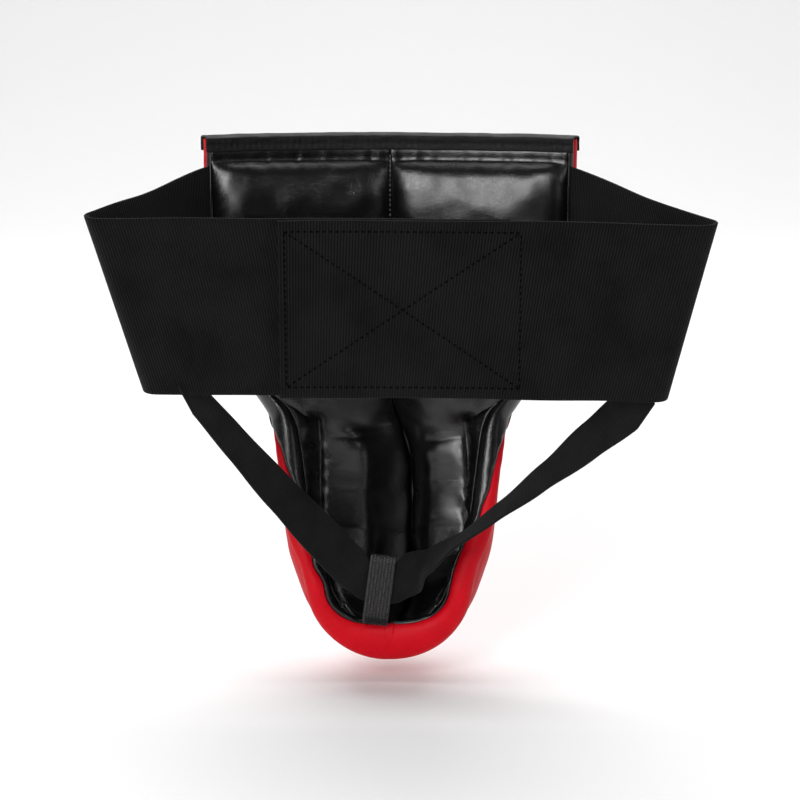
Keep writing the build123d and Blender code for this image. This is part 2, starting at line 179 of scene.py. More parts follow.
@dataclass(frozen=True)
class Section:
    """Cross-section of the wall: arcs round one centre, between the two rims."""

    rim_y: float
    rim_z: float
    mid_y: float
    mid_z: float
    half: float

    @property
    def depth(self) -> float:
        """Distance from the line between the rims to the middle."""
        return hypot(self.mid_y - self.rim_y, self.mid_z - self.rim_z)

    @property
    def way(self) -> tuple[float, float]:
        """Unit direction in Y and Z from the rims to the middle."""
        return (self.mid_y - self.rim_y) / self.depth, (self.mid_z - self.rim_z) / self.depth

    @property
    def radius(self) -> float:
        """Radius of the wearer's face."""
        return (self.half**2 + self.depth**2) / (2 * self.depth)

    @property
    def edge(self) -> float:
        """Angle of the rim from the middle."""
        return atan2(self.half, self.radius - self.depth)

    def normal(self, angle: float) -> Vector:
        """Outward direction at an angle from the middle.

        Args:
            angle: signed angle, positive towards +X.

        Returns:
            Unit vector through the wall, away from the wearer.
        """
        return Vector((sin(angle), cos(angle) * self.way[0], cos(angle) * self.way[1]))

    def point(self, angle: float, off: float) -> Vector:
        """Point of the wall.

        Args:
            angle: signed angle from the middle.
            off: distance outwards from the wearer's face.

        Returns:
            The point.
        """
        r = self.radius + off
        back = self.radius
        centre = Vector((0.0, self.mid_y - back * self.way[0], self.mid_z - back * self.way[1]))
        return centre + self.normal(angle) * r


class Wall:
    """The wall as one smooth surface over its sections."""

    def __init__(self, sizes: WallSizes) -> None:
        """Lays out the sections.

        Args:
            sizes: the guard's sizes.
        """
        self.sizes = sizes
        sections = self._sections()
        self.stations = [0.0]
        for a, b in zip(sections, sections[1:]):
            self.stations.append(self.stations[-1] + hypot(b.mid_y - a.mid_y, b.mid_z - a.mid_z))
        self.rows = [(s.rim_y, s.rim_z, s.mid_y, s.mid_z, s.half) for s in sections]
        self.slopes = [self._slopes(column) for column in zip(*self.rows)]
        self.cup_start = self.stations[len(sections) - len(sizes.cup_rows)]
        self.length = self.stations[-1]

    def _cup(self, share: float, tilt: float, depth: float, width: float) -> Section:
        """One section of the cup, from a row of the sizes."""
        s = self.sizes
        y = s.back_y - s.rim_back - s.rim_lean * share
        z = s.cup_top - s.rim_length * share
        deep = s.cup_depth * depth
        a = radians(tilt)
        return Section(y, z, y + deep * cos(a), z - deep * sin(a), s.cup_width / 2 * width)

    def _sections(self) -> list[Section]:
        """Sections from the panel's top edge to the foot of the cup."""
        s = self.sizes
        half = s.pad_width / 2
        low = s.pad_top - s.pad_straight
        made = [Section(s.back_y, z, s.back_y + s.belly_sag, z, half) for z in (s.pad_top, low)]
        last = self._cup(*s.cup_rows[0])
        deep = s.cup_depth * s.cup_rows[0][2]
        for i in range(1, s.shoulder_steps + 1):
            t = i / (s.shoulder_steps + 1)
            y = s.back_y + (last.rim_y - s.back_y) * t
            z = low + (last.rim_z - low) * t
            depth = s.belly_sag + (deep - s.belly_sag) * t**s.depth_curve
            a = radians(s.cup_rows[0][1]) * t
            wide = half + (last.half - half) * smooth(t) ** s.width_curve
            made.append(Section(y, z, y + depth * cos(a), z - depth * sin(a), wide))
        return made + [self._cup(*row) for row in s.cup_rows]

    def _slopes(self, values: Sequence[float]) -> list[float]:
        """Slopes that keep a curve through the values free of overshoot."""
        steps = [b - a for a, b in zip(self.stations, self.stations[1:])]
        rises = [(b - a) / h for a, b, h in zip(values, values[1:], steps)]
        inner = [0.0 if a * b <= 0 else 2 * a * b / (a + b) for a, b in zip(rises, rises[1:])]
        return [rises[0], *inner, rises[-1]]

    @lru_cache(maxsize=4096)
    def section(self, t: float) -> Section:
        """Cross-section at a distance down the middle of the guard.

        Args:
            t: metres from the top edge.

        Returns:
            The section there.
        """
        t = min(self.length, max(0.0, t))
        i = min(len(self.stations) - 2, max(0, bisect_right(self.stations, t) - 1))
        h = self.stations[i + 1] - self.stations[i]
        u = (t - self.stations[i]) / h
        a, b = self.rows[i], self.rows[i + 1]
        values = []
        for k in range(5):
            m0, m1 = self.slopes[k][i] * h, self.slopes[k][i + 1] * h
            start = (2 * u**3 - 3 * u**2 + 1) * a[k] + (u**3 - 2 * u**2 + u) * m0
            values.append(start + (3 * u**2 - 2 * u**3) * b[k] + (u**3 - u**2) * m1)
        return Section(*values)

    def point(self, t: float, share: float, off: float) -> Vector:
        """Point of the wall.

        Args:
            t: metres down the middle from the top edge.
            share: share of the half section, -1 at the left rim and 1 at the right one.
            off: distance outwards from the wearer's face.

        Returns:
            The point.
        """
        s = self.section(t)
        return s.point(s.edge * share, off)


# ---------------------------------------------------------------- mesh building
class Mesh:
    """Builds one finished mesh object from mapped grids."""

    @staticmethod
    def finish(
        name: str, bm: bmesh.types.BMesh, material: bpy.types.Material | None = None
    ) -> bpy.types.Object:
        """Turns a bmesh into an object at the origin.

        Args:
            name: the object's name.
            bm: the mesh, which is freed.
            material: its material.

        Returns:
            The new object.
        """
        data = bpy.data.meshes.new(name)
        bm.to_mesh(data)
        bm.free()
        data.polygons.foreach_set("use_smooth", [True] * len(data.polygons))
        made = bpy.data.objects.new(name, data)
        bpy.context.scene.collection.objects.link(made)
        if material:
            data.materials.append(material)
        return made

    @staticmethod
    def grid(
        columns: int,
        rows: int,
        place: Callable[[float, float], Vector],
        size: tuple[float, float],
        relief: Callable[[float, float], float] | None = None,
        away: Callable[[float, float], Vector] | None = None,
    ) -> bmesh.types.BMesh:
        """Grid mapped onto a surface, with UVs in metres.

        Args:
            columns: faces across.
            rows: faces along.
            place: point of the surface at shares (across, along).
            size: real size across and along, for the UVs.
            relief: height along the normal at shares (across, along).
            away: direction that the normals point to, at the middle of the grid.

        Returns:
            The mesh.
        """
        bm = bmesh.new()
        bmesh.ops.create_grid(bm, x_segments=columns, y_segments=rows, size=1.0)
        shares = [((v.co.x + 1) / 2, (v.co.y + 1) / 2) for v in bm.verts]
        bm.verts.index_update()
        for v in bm.verts:
            v.co = place(*shares[v.index])
        bm.normal_update()
        if away:
            middle = min(bm.verts, key=lambda v: sum(abs(share - 0.5) for share in shares[v.index]))
            if middle.normal.dot(away(*shares[middle.index])) < 0:
                bmesh.ops.reverse_faces(bm, faces=bm.faces[:])
                bm.normal_update()
        if relief:
            lifts = [v.normal * relief(*shares[v.index]) for v in bm.verts]
            for v, lift in zip(bm.verts, lifts):
                v.co += lift
        layer = bm.loops.layers.uv.new("UVMap")
        for face in bm.faces:
            for loop in face.loops:
                across, along = shares[loop.vert.index]
                loop[layer].uv = (across * size[0], along * size[1])
        return bm

    @staticmethod
    def thicken(obj: bpy.types.Object, thickness: float, offset: float = -1.0) -> bpy.types.Object:
        """Gives a sheet its thickness.

        Args:
            obj: the sheet.
            thickness: in metres.
            offset: -1 grows it against its normals, 0 both ways.

        Returns:
            The same object.
        """
        solid = obj.modifiers.new("thickness", "SOLIDIFY")
        solid.thickness = thickness
        solid.offset = offset
        solid.use_even_offset = False
        return obj

    @staticmethod
    def refine(obj: bpy.types.Object, levels: int = 1) -> bpy.types.Object:
        """Adds a subdivision surface.

        Args:
            obj: the object.
            levels: subdivision levels, the same in view and render.

        Returns:
            The same object.
        """
        subdivision = obj.modifiers.new("rounding", "SUBSURF")
        subdivision.levels = levels
        subdivision.render_levels = levels
        return obj


@dataclass(frozen=True)
class Inflation:
    """How a sewn patch swells over its foam: a cloth simulation at twenty times size."""

    pressure: float = 34.0
    slack: float = 0.035
    stiffness: float = 45.0
    bending: float = 1.2
    frames: int = 20
    cap: float = 0.008
    scale: float = 20.0
    mass: float = 0.12
    samples: int = 6
    smoothing: int = 3

    def run(self, obj: bpy.types.Object, pinned: list[int]) -> None:
        """Swells the object's mesh along its normals, holding the pinned vertices.

        Args:
            obj: a grid mesh whose normals point the way it swells.
            pinned: numbers of the vertices that are sewn down.
        """
        start = [v.co.copy() for v in obj.data.vertices]
        normals = [v.normal.copy() for v in obj.data.vertices]
        trial = bpy.data.objects.new("swelling", obj.data.copy())
        bpy.context.scene.collection.objects.link(trial)
        trial.data.transform(Matrix.Scale(self.scale, 4))
        pins = trial.vertex_groups.new(name="pins")
        pins.add(pinned, 1.0, "REPLACE")
        cloth = trial.modifiers.new("cloth", "CLOTH")
        rules = cloth.settings
        rules.quality = self.samples
        rules.mass = self.mass
        rules.tension_stiffness = self.stiffness
        rules.compression_stiffness = self.stiffness / 3
        rules.shear_stiffness = self.stiffness / 4
        rules.bending_stiffness = self.bending
        rules.use_pressure = True
        rules.uniform_pressure_force = self.pressure
        rules.shrink_min = -self.slack
        rules.vertex_group_mass = "pins"
        rules.effector_weights.gravity = 0.0
        cloth.collision_settings.use_collision = False
        cloth.point_cache.frame_start = 1
        cloth.point_cache.frame_end = self.frames
        scene = bpy.context.scene
        for step in range(1, self.frames + 1):
            scene.frame_set(step)
        settled = trial.evaluated_get(bpy.context.evaluated_depsgraph_get())
        moved = [v.co / self.scale for v in settled.data.vertices]
        scene.frame_set(1)
        for v, was, now, normal in zip(obj.data.vertices, start, moved, normals):
            shift = now - was
            out = shift.dot(normal)
            shift -= normal * out
            out = self.cap * (1 - exp(-max(0.0, out) / self.cap))
            if shift.length > self.cap / 2:
                shift *= self.cap / 2 / shift.length
            v.co = was + shift + normal * out
        gone = trial.data
        bpy.data.objects.remove(trial)
        bpy.data.meshes.remove(gone)
        held = set(pinned)
        bm = bmesh.new()
        bm.from_mesh(obj.data)
        free = [v for v in bm.verts if v.index not in held]
        for _ in range(self.smoothing):
            bmesh.ops.smooth_vert(
                bm, verts=free, factor=0.5, use_axis_x=True, use_axis_y=True, use_axis_z=True
            )
        bm.to_mesh(obj.data)
        bm.free()


# ---------------------------------------------------------------- materials
def linear(colour: str) -> tuple[float, float, float, float]:
    """Linear colour of an sRGB hex value.

    Args:
        colour: six hex digits.

    Returns:
        Red, green, blue and alpha, linear.
    """
    parts = [int(colour[i : i + 2], 16) / 255 for i in (0, 2, 4)]
    return (*[p / 12.92 if p <= 0.04045 else ((p + 0.055) / 1.055) ** 2.4 for p in parts], 1.0)


def node(
    tree: bpy.types.NodeTree,
    kind: str,
    values: dict | None = None,
    links: dict | None = None,
    **settings,
) -> bpy.types.Node:
    """Adds one shader node.

    Args:
        tree: the material's node tree.
        kind: the node's type.
        values: constant values by input.
        links: sockets to join, by input.
        settings: the node's own attributes.

    Returns:
        The node.
    """
    made = tree.nodes.new(kind)
    for key, value in settings.items():
        setattr(made, key, value)
    for key, value in (values or {}).items():
        made.inputs[key].default_value = value
    for key, source in (links or {}).items():
        tree.links.new(source, made.inputs[key])
    return made


@dataclass(frozen=True)
class Finish:
    """A material's common values. Pattern sizes are in metres."""

    name: str
    colour: str
    # shade: the darker colour, mixed in as random mottle and as painted shade in the relief's low parts
    shade: str
    roughness: float = 0.5
    roughness_range: float = 0.1
    mottle: float = 0.03
    specular: float = 0.5
    coat: float = 0.0
    coat_roughness: float = 0.2
    sheen: float = 0.0

    def height(self, tree: bpy.types.NodeTree) -> tuple:
        """Relief of the surface.

        Args:
            tree: the material's node tree.

        Returns:
            A height socket from 0 to 1, and the relief's real depth.
        """
        place = node(tree, "ShaderNodeTexCoord").outputs["Object"]
        fine = node(tree, "ShaderNodeTexNoise", {"Scale": 900.0, "Detail": 3.0}, {"Vector": place})
        return fine.outputs["Fac"], 0.00004

    def make(self) -> bpy.types.Material:
        """Builds the material.

        Returns:
            The material.
        """
        made = bpy.data.materials.new(self.name)
        made.use_nodes = True
        tree = made.node_tree
        tree.nodes.clear()
        place = node(tree, "ShaderNodeTexCoord").outputs["Object"]
        patches = node(
            tree,
            "ShaderNodeTexNoise",
            {"Scale": 1 / self.mottle, "Detail": 5.0, "Roughness": 0.6},
            {"Vector": place},
        )
        height, depth = self.height(tree)
        # Base colour: random mottle, plus painted shade in the relief's low parts (grain pits, rib grooves,
        # gaps between points), both mixing towards the darker shade colour.
        blend = node(
            tree, "ShaderNodeMath", None, {0: patches.outputs["Fac"], 1: height}, operation="MULTIPLY"
        )
        colour = node(
            tree,
            "ShaderNodeMix",
            {"A": linear(self.shade), "B": linear(self.colour)},
            None,
            data_type="RGBA",
        )
        mottle_and_recess_shade = node(
            tree,
            "ShaderNodeMapRange",
            {"From Min": 0.1, "From Max": 0.5, "To Min": 0.0, "To Max": 1.0},
            {"Value": blend.outputs[0]},
        )
        tree.links.new(mottle_and_recess_shade.outputs["Result"], colour.inputs[0])
        gloss = node(
            tree,
            "ShaderNodeMapRange",
            {
                "From Min": 0.3,
                "From Max": 0.7,
                "To Min": max(0.02, self.roughness - self.roughness_range),
                "To Max": min(1.0, self.roughness + self.roughness_range),
            },
            {"Value": patches.outputs["Fac"]},
        )
        bump = node(tree, "ShaderNodeBump", {"Strength": 1.0, "Distance": depth}, {"Height": height})
        shader = node(
            tree,
            "ShaderNodeBsdfPrincipled",
            {
                "Specular IOR Level": self.specular,
                "Coat Weight": self.coat,
                "Coat Roughness": self.coat_roughness,
                "Sheen Weight": self.sheen,
                "Sheen Roughness": 0.5,
            },
            {
                "Base Color": colour.outputs["Result"],
                "Roughness": gloss.outputs["Result"],
                "Normal": bump.outputs["Normal"],
            },
        )
        node(tree, "ShaderNodeOutputMaterial", None, {"Surface": shader.outputs["BSDF"]})
        return made


@dataclass(frozen=True)
class Leather(Finish):
    """Coated leather: pebble grain over soft creases."""

    grain: float = 0.0011
    drift: float = 0.0008
    depth: float = 0.00016
    creases: float = 0.009

    def height(self, tree: bpy.types.NodeTree) -> tuple:
        """Pebbles from cells, broken by creases.

        Args:
            tree: the material's node tree.

        Returns:
            A height socket from 0 to 1, and the relief's real depth.
        """
        place = node(tree, "ShaderNodeTexCoord").outputs["Object"]
        bend = node(tree, "ShaderNodeTexNoise", {"Scale": 300.0, "Detail": 2.0}, {"Vector": place})
        drift = node(
            tree,
            "ShaderNodeVectorMath",
            {"Scale": self.drift},
            {0: bend.outputs["Color"]},
            operation="SCALE",
        )
        moved = node(tree, "ShaderNodeVectorMath", None, {0: place, 1: drift.outputs[0]}, operation="ADD")
        cells = node(
            tree,
            "ShaderNodeTexVoronoi",
            {"Scale": 1 / self.grain},
            {"Vector": moved.outputs[0]},
            feature="DISTANCE_TO_EDGE",
        )
        domes = node(
            tree,
            "ShaderNodeMapRange",
            {"From Min": 0.0, "From Max": 0.35, "To Min": 0.0, "To Max": 0.75},
            {"Value": cells.outputs["Distance"]},
            interpolation_type="SMOOTHSTEP",
        )
        folds = node(
            tree,
            "ShaderNodeTexNoise",
            {"Scale": 1 / self.creases, "Detail": 2.0, "Roughness": 0.5},
            {"Vector": place},
        )
        part = node(tree, "ShaderNodeMath", {1: 0.5}, {0: folds.outputs["Fac"]}, operation="MULTIPLY")
        total = node(
            tree,
            "ShaderNodeMath",
            None,
            {0: domes.outputs["Result"], 1: part.outputs[0]},
            operation="ADD",
        )
        return total.outputs[0], self.depth


@dataclass(frozen=True)
class Elastic(Finish):
    """Woven elastic: ribs across its length, with fine rows of thread along it."""

    rib: float = 0.0016
    row: float = 0.0009
    row_depth: float = 0.35
    depth: float = 0.0003
    ribs_along: bool = False

    def height(self, tree: bpy.types.NodeTree) -> tuple:
        """Ribs and rows from the UVs, which are in metres.

        Args:
            tree: the material's node tree.

        Returns:
            A height socket from 0 to 1, and the relief's real depth.
        """
        uv = node(tree, "ShaderNodeTexCoord").outputs["UV"]
        split = node(tree, "ShaderNodeSeparateXYZ", None, {0: uv})
        first, second = (0, 1) if self.ribs_along else (1, 0)
        waves = []
        for channel, pitch, depth in ((first, self.rib, 1.0), (second, self.row, self.row_depth)):
            turn = node(
                tree,
                "ShaderNodeMath",
                {1: 2 * pi / pitch},
                {0: split.outputs[channel]},
                operation="MULTIPLY",
            )
            wave = node(tree, "ShaderNodeMath", None, {0: turn.outputs[0]}, operation="SINE")
            lift = node(
                tree,
                "ShaderNodeMath",
                {1: 0.5 * depth / (1 + self.row_depth), 2: 0.5 * depth / (1 + self.row_depth)},
                {0: wave.outputs[0]},
                operation="MULTIPLY_ADD",
            )
            waves.append(lift)
        total = node(
            tree,
            "ShaderNodeMath",
            None,
            {0: waves[0].outputs[0], 1: waves[1].outputs[0]},
            operation="ADD",
        )
        place = node(tree, "ShaderNodeTexCoord").outputs["Object"]
        fuzz = node(tree, "ShaderNodeTexNoise", {"Scale": 1600.0, "Detail": 2.0}, {"Vector": place})
        rough = node(
            tree,
            "ShaderNodeMath",
            {1: 0.3},
            {0: fuzz.outputs["Fac"], 2: total.outputs[0]},
            operation="MULTIPLY_ADD",
        )
        return rough.outputs[0], self.depth


@dataclass(frozen=True)
class Tape(Finish):
    """Hook tape or loop tape: a dense field of small points."""

    pitch: float = 0.0014
    depth: float = 0.0006

    def height(self, tree: bpy.types.NodeTree) -> tuple:
        """Points from cells.

        Args:
            tree: the material's node tree.

        Returns:
            A height socket from 0 to 1, and the relief's real depth.
        """
        place = node(tree, "ShaderNodeTexCoord").outputs["Object"]
        cells = node(
            tree, "ShaderNodeTexVoronoi", {"Scale": 1 / self.pitch, "Randomness": 0.7}, {"Vector": place}
        )
        points = node(
            tree,
            "ShaderNodeMapRange",
            {"From Min": 0.0, "From Max": 0.6, "To Min": 1.0, "To Max": 0.0},
            {"Value": cells.outputs["Distance"]},
        )
        return points.outputs["Result"], self.depth


class Palette:
    """Every material of the guard, made once."""

    def __init__(self) -> None:
        """Makes the materials."""
        # Coated cowhide, embossed with a fine pebble and glazed: the lining that faces the wearer.
        self.lining = Leather(
            "black_lining_leather",
            "08080a",
            "030304",
            roughness=0.25,
            roughness_range=0.04,
            mottle=0.02,
            coat=0.1,
            coat_roughness=0.15,
            grain=0.0010,
            depth=0.00005,
        ).make()
        # Split leather with a smooth red polyurethane face, rolled on: the front cover and the rim.
        self.cover = Leather(
            "red_cover_leather",
            "cc001a",
            "b80012",
            roughness_range=0.05,
            specular=0.14,
            coat_roughness=0.35,
            grain=0.0008,
            depth=0.00004,
        ).make()
        # Folded bias tape of glazed leather cloth.
        self.binding = Leather(
            "black_binding_tape",
            "0a0a0b",
            "030304",
            roughness=0.48,
            roughness_range=0.08,
            mottle=0.012,
            specular=0.2,
            coat_roughness=0.3,
            grain=0.0007,
            depth=0.0001,
        ).make()
        # Wide knitted elastic with rubber cores: the belt. The dark colour in its rib grooves is painted
        # shade, set far below the light colour so the ribs show under a frontal light.
        self.belt = Elastic(
            "black_belt_elastic",
            "19191a",
            "020203",
            roughness=0.75,
            roughness_range=0.06,
            specular=0.06,
            coat_roughness=0.3,
            sheen=0.03,
            rib=0.0017,
            depth=0.0004,
        ).make()
        # Narrow woven elastic: the leg straps. The dark colour in its rib grooves is painted shade.
        self.strap = Elastic(
            "black_strap_elastic",
            "1a1a1b",
            "030304",
            roughness=0.7,
            roughness_range=0.06,
            mottle=0.02,
            specular=0.08,
            coat_roughness=0.3,
            sheen=0.03,
            rib=0.0012,
            row=0.0019,
            row_depth=0.6,
            depth=0.00022,
            ribs_along=True,
        ).make()
        # Polypropylene webbing, woven in thick glossy beads.
        self.webbing = Elastic(
            "black_webbing",
            "121213",
            "030304",
            roughness=0.4,
            roughness_range=0.05,
            mottle=0.01,
            specular=0.45,
            coat_roughness=0.3,
            rib=0.0006,
            row=0.0006,
            depth=0.00005,
        ).make()
        # Bonded polyester sewing thread.
        self.thread = self.sewing("black_thread", "0d0d0e", "050506", 0.45, 0.25)
        # The same thread where it is pulled down into the elastic: painted darker and matt, as the shade of
        # the holes it sits in.
        self.shade_painted_thread = self.sewing("black_thread_painted_shade", "030303", "010101", 0.8, 0.03)
        # The same thread in pale grey, where the lining's centre seam shows it.
        self.pale_thread = self.sewing("pale_thread", "b9b4aa", "77736b")
        # Red thread that shows at the stitched strip under the binding.
        self.red_thread = self.sewing("red_thread", "8a1a1c", "4a0a0c")
        # Nylon hook tape.
        self.hooks = Tape("black_hook_tape", "1b1b1c", "050506", roughness_range=0.06, mottle=0.02).make()
        # Nylon loop tape, brushed.
        self.loops = Tape(
            "black_loop_tape",
            "19191a",
            "060607",
            roughness=0.85,
            roughness_range=0.05,
            mottle=0.02,
            specular=0.1,
            coat_roughness=0.3,
            sheen=0.05,
            pitch=0.0009,
            depth=0.0004,
        ).make()
        # Cross-linked polyethylene foam, cut with a knife.
        self.foam = Tape(
            "grey_foam",
            "77777a",
            "58585b",
            roughness=0.85,
            roughness_range=0.05,
            mottle=0.01,
            specular=0.3,
            pitch=0.0008,
            depth=0.0001,
        ).make()
        # Injection moulded polypropylene with a fine spark-eroded face.
        self.shell = Finish(
            "white_polypropylene", "d8d6cf", "bdbbb4", roughness=0.42, roughness_range=0.06, mottle=0.02
        ).make()

    @staticmethod
    def sewing(
        name: str, colour: str, shade: str, roughness: float = 0.5, specular: float = 0.5
    ) -> bpy.types.Material:
        """Makes a thread's material.

        Args:
            name: the material's name.
            colour: its lighter colour.
            shade: its darker colour, mixed in as random mottle and as painted shade in the thread's pits.
            roughness: how matt the thread is.
            specular: strength of its highlights.

        Returns:
            The material.
        """
        made = Finish(name, colour, shade, roughness, roughness_range=0.08, mottle=0.004, specular=specular)
        return made.make()


# ---------------------------------------------------------------- stitches
@dataclass
class Stitches:
    """Rows of separate stitches, merged into one mesh."""

    name: str
    body: str
    material: bpy.types.Material
    length: float = 0.0028
    thread: float = 0.00042
    spots: list[tuple[Vector, Vector, Vector]] = field(default_factory=list)

    def row(self, points: Sequence[Vector], normals: Sequence[Vector], pitch: float) -> None:
        """Adds stitches along a line of points.

        Args:
            points: the line, close together.
            normals: the cloth's normal at each.
            pitch: distance from stitch to stitch.
        """
        travelled, wanted = 0.0, pitch / 2
        for a, b, normal in zip(points, points[1:], normals):
            step = (b - a).length
            while step > 0 and travelled + step >= wanted:
                spot = a.lerp(b, (wanted - travelled) / step)
                self.spots.append((spot, (b - a).normalized(), normal))
                wanted += pitch
            travelled += step

    def build(self) -> bpy.types.Object:
        """Builds the stitches.

        Returns:
            One object that holds them all.
        """
        bm = bmesh.new()
        for spot, way, normal in self.spots:
            side = normal.cross(way).normalized()
            up = way.cross(side)
            turn = Matrix((way, side, up)).transposed().to_4x4()
            size = Matrix.Diagonal((self.length / 2, self.thread / 2, self.thread / 2, 1.0))
            bmesh.ops.create_uvsphere(
                bm, u_segments=8, v_segments=5, radius=1.0, matrix=Matrix.Translation(spot) @ turn @ size
            )
        made = Mesh.finish(self.name, bm, self.material)
        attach(made, self.body)
        return made


# ---------------------------------------------------------------- rim path
@dataclass(frozen=True)
class RimSample:
    """One place on the wall's edge: its inner corner, the way through the wall and the way it faces."""

    corner: Vector
    through: Vector
    facing: Vector
    t: float
    share: float
    run: float
    foot: float


class RimPath:
    """The wall's right-hand edge, from the panel's top corner down to the middle of the foot."""

    STEP = 0.0025

    def __init__(self, wall: Wall) -> None:
        """Samples the edge.

        Args:
            wall: the guard's wall.
        """
        self.wall = wall
        raw = []
        t = 0.0
        while t < wall.length:
            raw.append((t, 1.0))
            t += self.STEP / 2
        last = wall.section(wall.length)
        count = int(last.edge * last.radius / self.STEP * 2)
        raw += [(wall.length, 1 - k / count) for k in range(count + 1)]
        corners = [wall.point(t, s, 0.0) for t, s in raw]
        runs = [0.0]
        for a, b in zip(corners, corners[1:]):
            runs.append(runs[-1] + (b - a).length)
        self.length = runs[-1]
        self.corner_run = next(r for r, (t, s) in zip(runs, raw) if s < 1.0)
        throughs = [wall.section(t).normal(wall.section(t).edge * s) for t, s in raw]
        count = int(self.length / self.STEP)
        rows = []
        for k in range(count + 1):
            want = self.length * k / count
            i = min(len(runs) - 2, max(0, bisect_right(runs, want) - 1))
            f = (want - runs[i]) / max(1e-9, runs[i + 1] - runs[i])
            rows.append(
                (
                    corners[i].lerp(corners[i + 1], f),
                    throughs[i].lerp(throughs[i + 1], f),
                    raw[i][0] + (raw[i + 1][0] - raw[i][0]) * f,
                    raw[i][1] + (raw[i + 1][1] - raw[i][1]) * f,
                    want,
                )
            )
        self.samples = []
        for k, (corner, _, t, share, run) in enumerate(rows):
            near = rows[max(0, k - 4) : k + 5]
            through = sum((r[1] for r in near), Vector()).normalized()
            way = rows[min(count, k + 2)][0] - rows[max(0, k - 2)][0]
            if k >= count - 1:
                way = Vector((-1.0, 0.0, 0.0))
                through = wall.section(wall.length).normal(0.0)
            facing = way.cross(through).normalized()
            through = facing.cross(way).normalized()
            foot = smooth((run - self.corner_run) / (self.length - self.corner_run))
            self.samples.append(RimSample(corner, through, facing, t, share, run, foot))

    def at(self, share: float) -> RimSample:
        """Sample at a share of the path.

        Args:
            share: 0 at the top corner, 1 at the middle of the foot.

        Returns:
            The nearest sample.
        """
        return self.samples[min(len(self.samples) - 1, round(share * (len(self.samples) - 1)))]


def mirrored(p: Vector, side: Side) -> Vector:
    """Puts a right-hand point on a side.

    Args:
        p: the point.
        side: the wanted side.

    Returns:
        The point on that side.
    """
    return Vector((p.x * side.value, p.y, p.z))


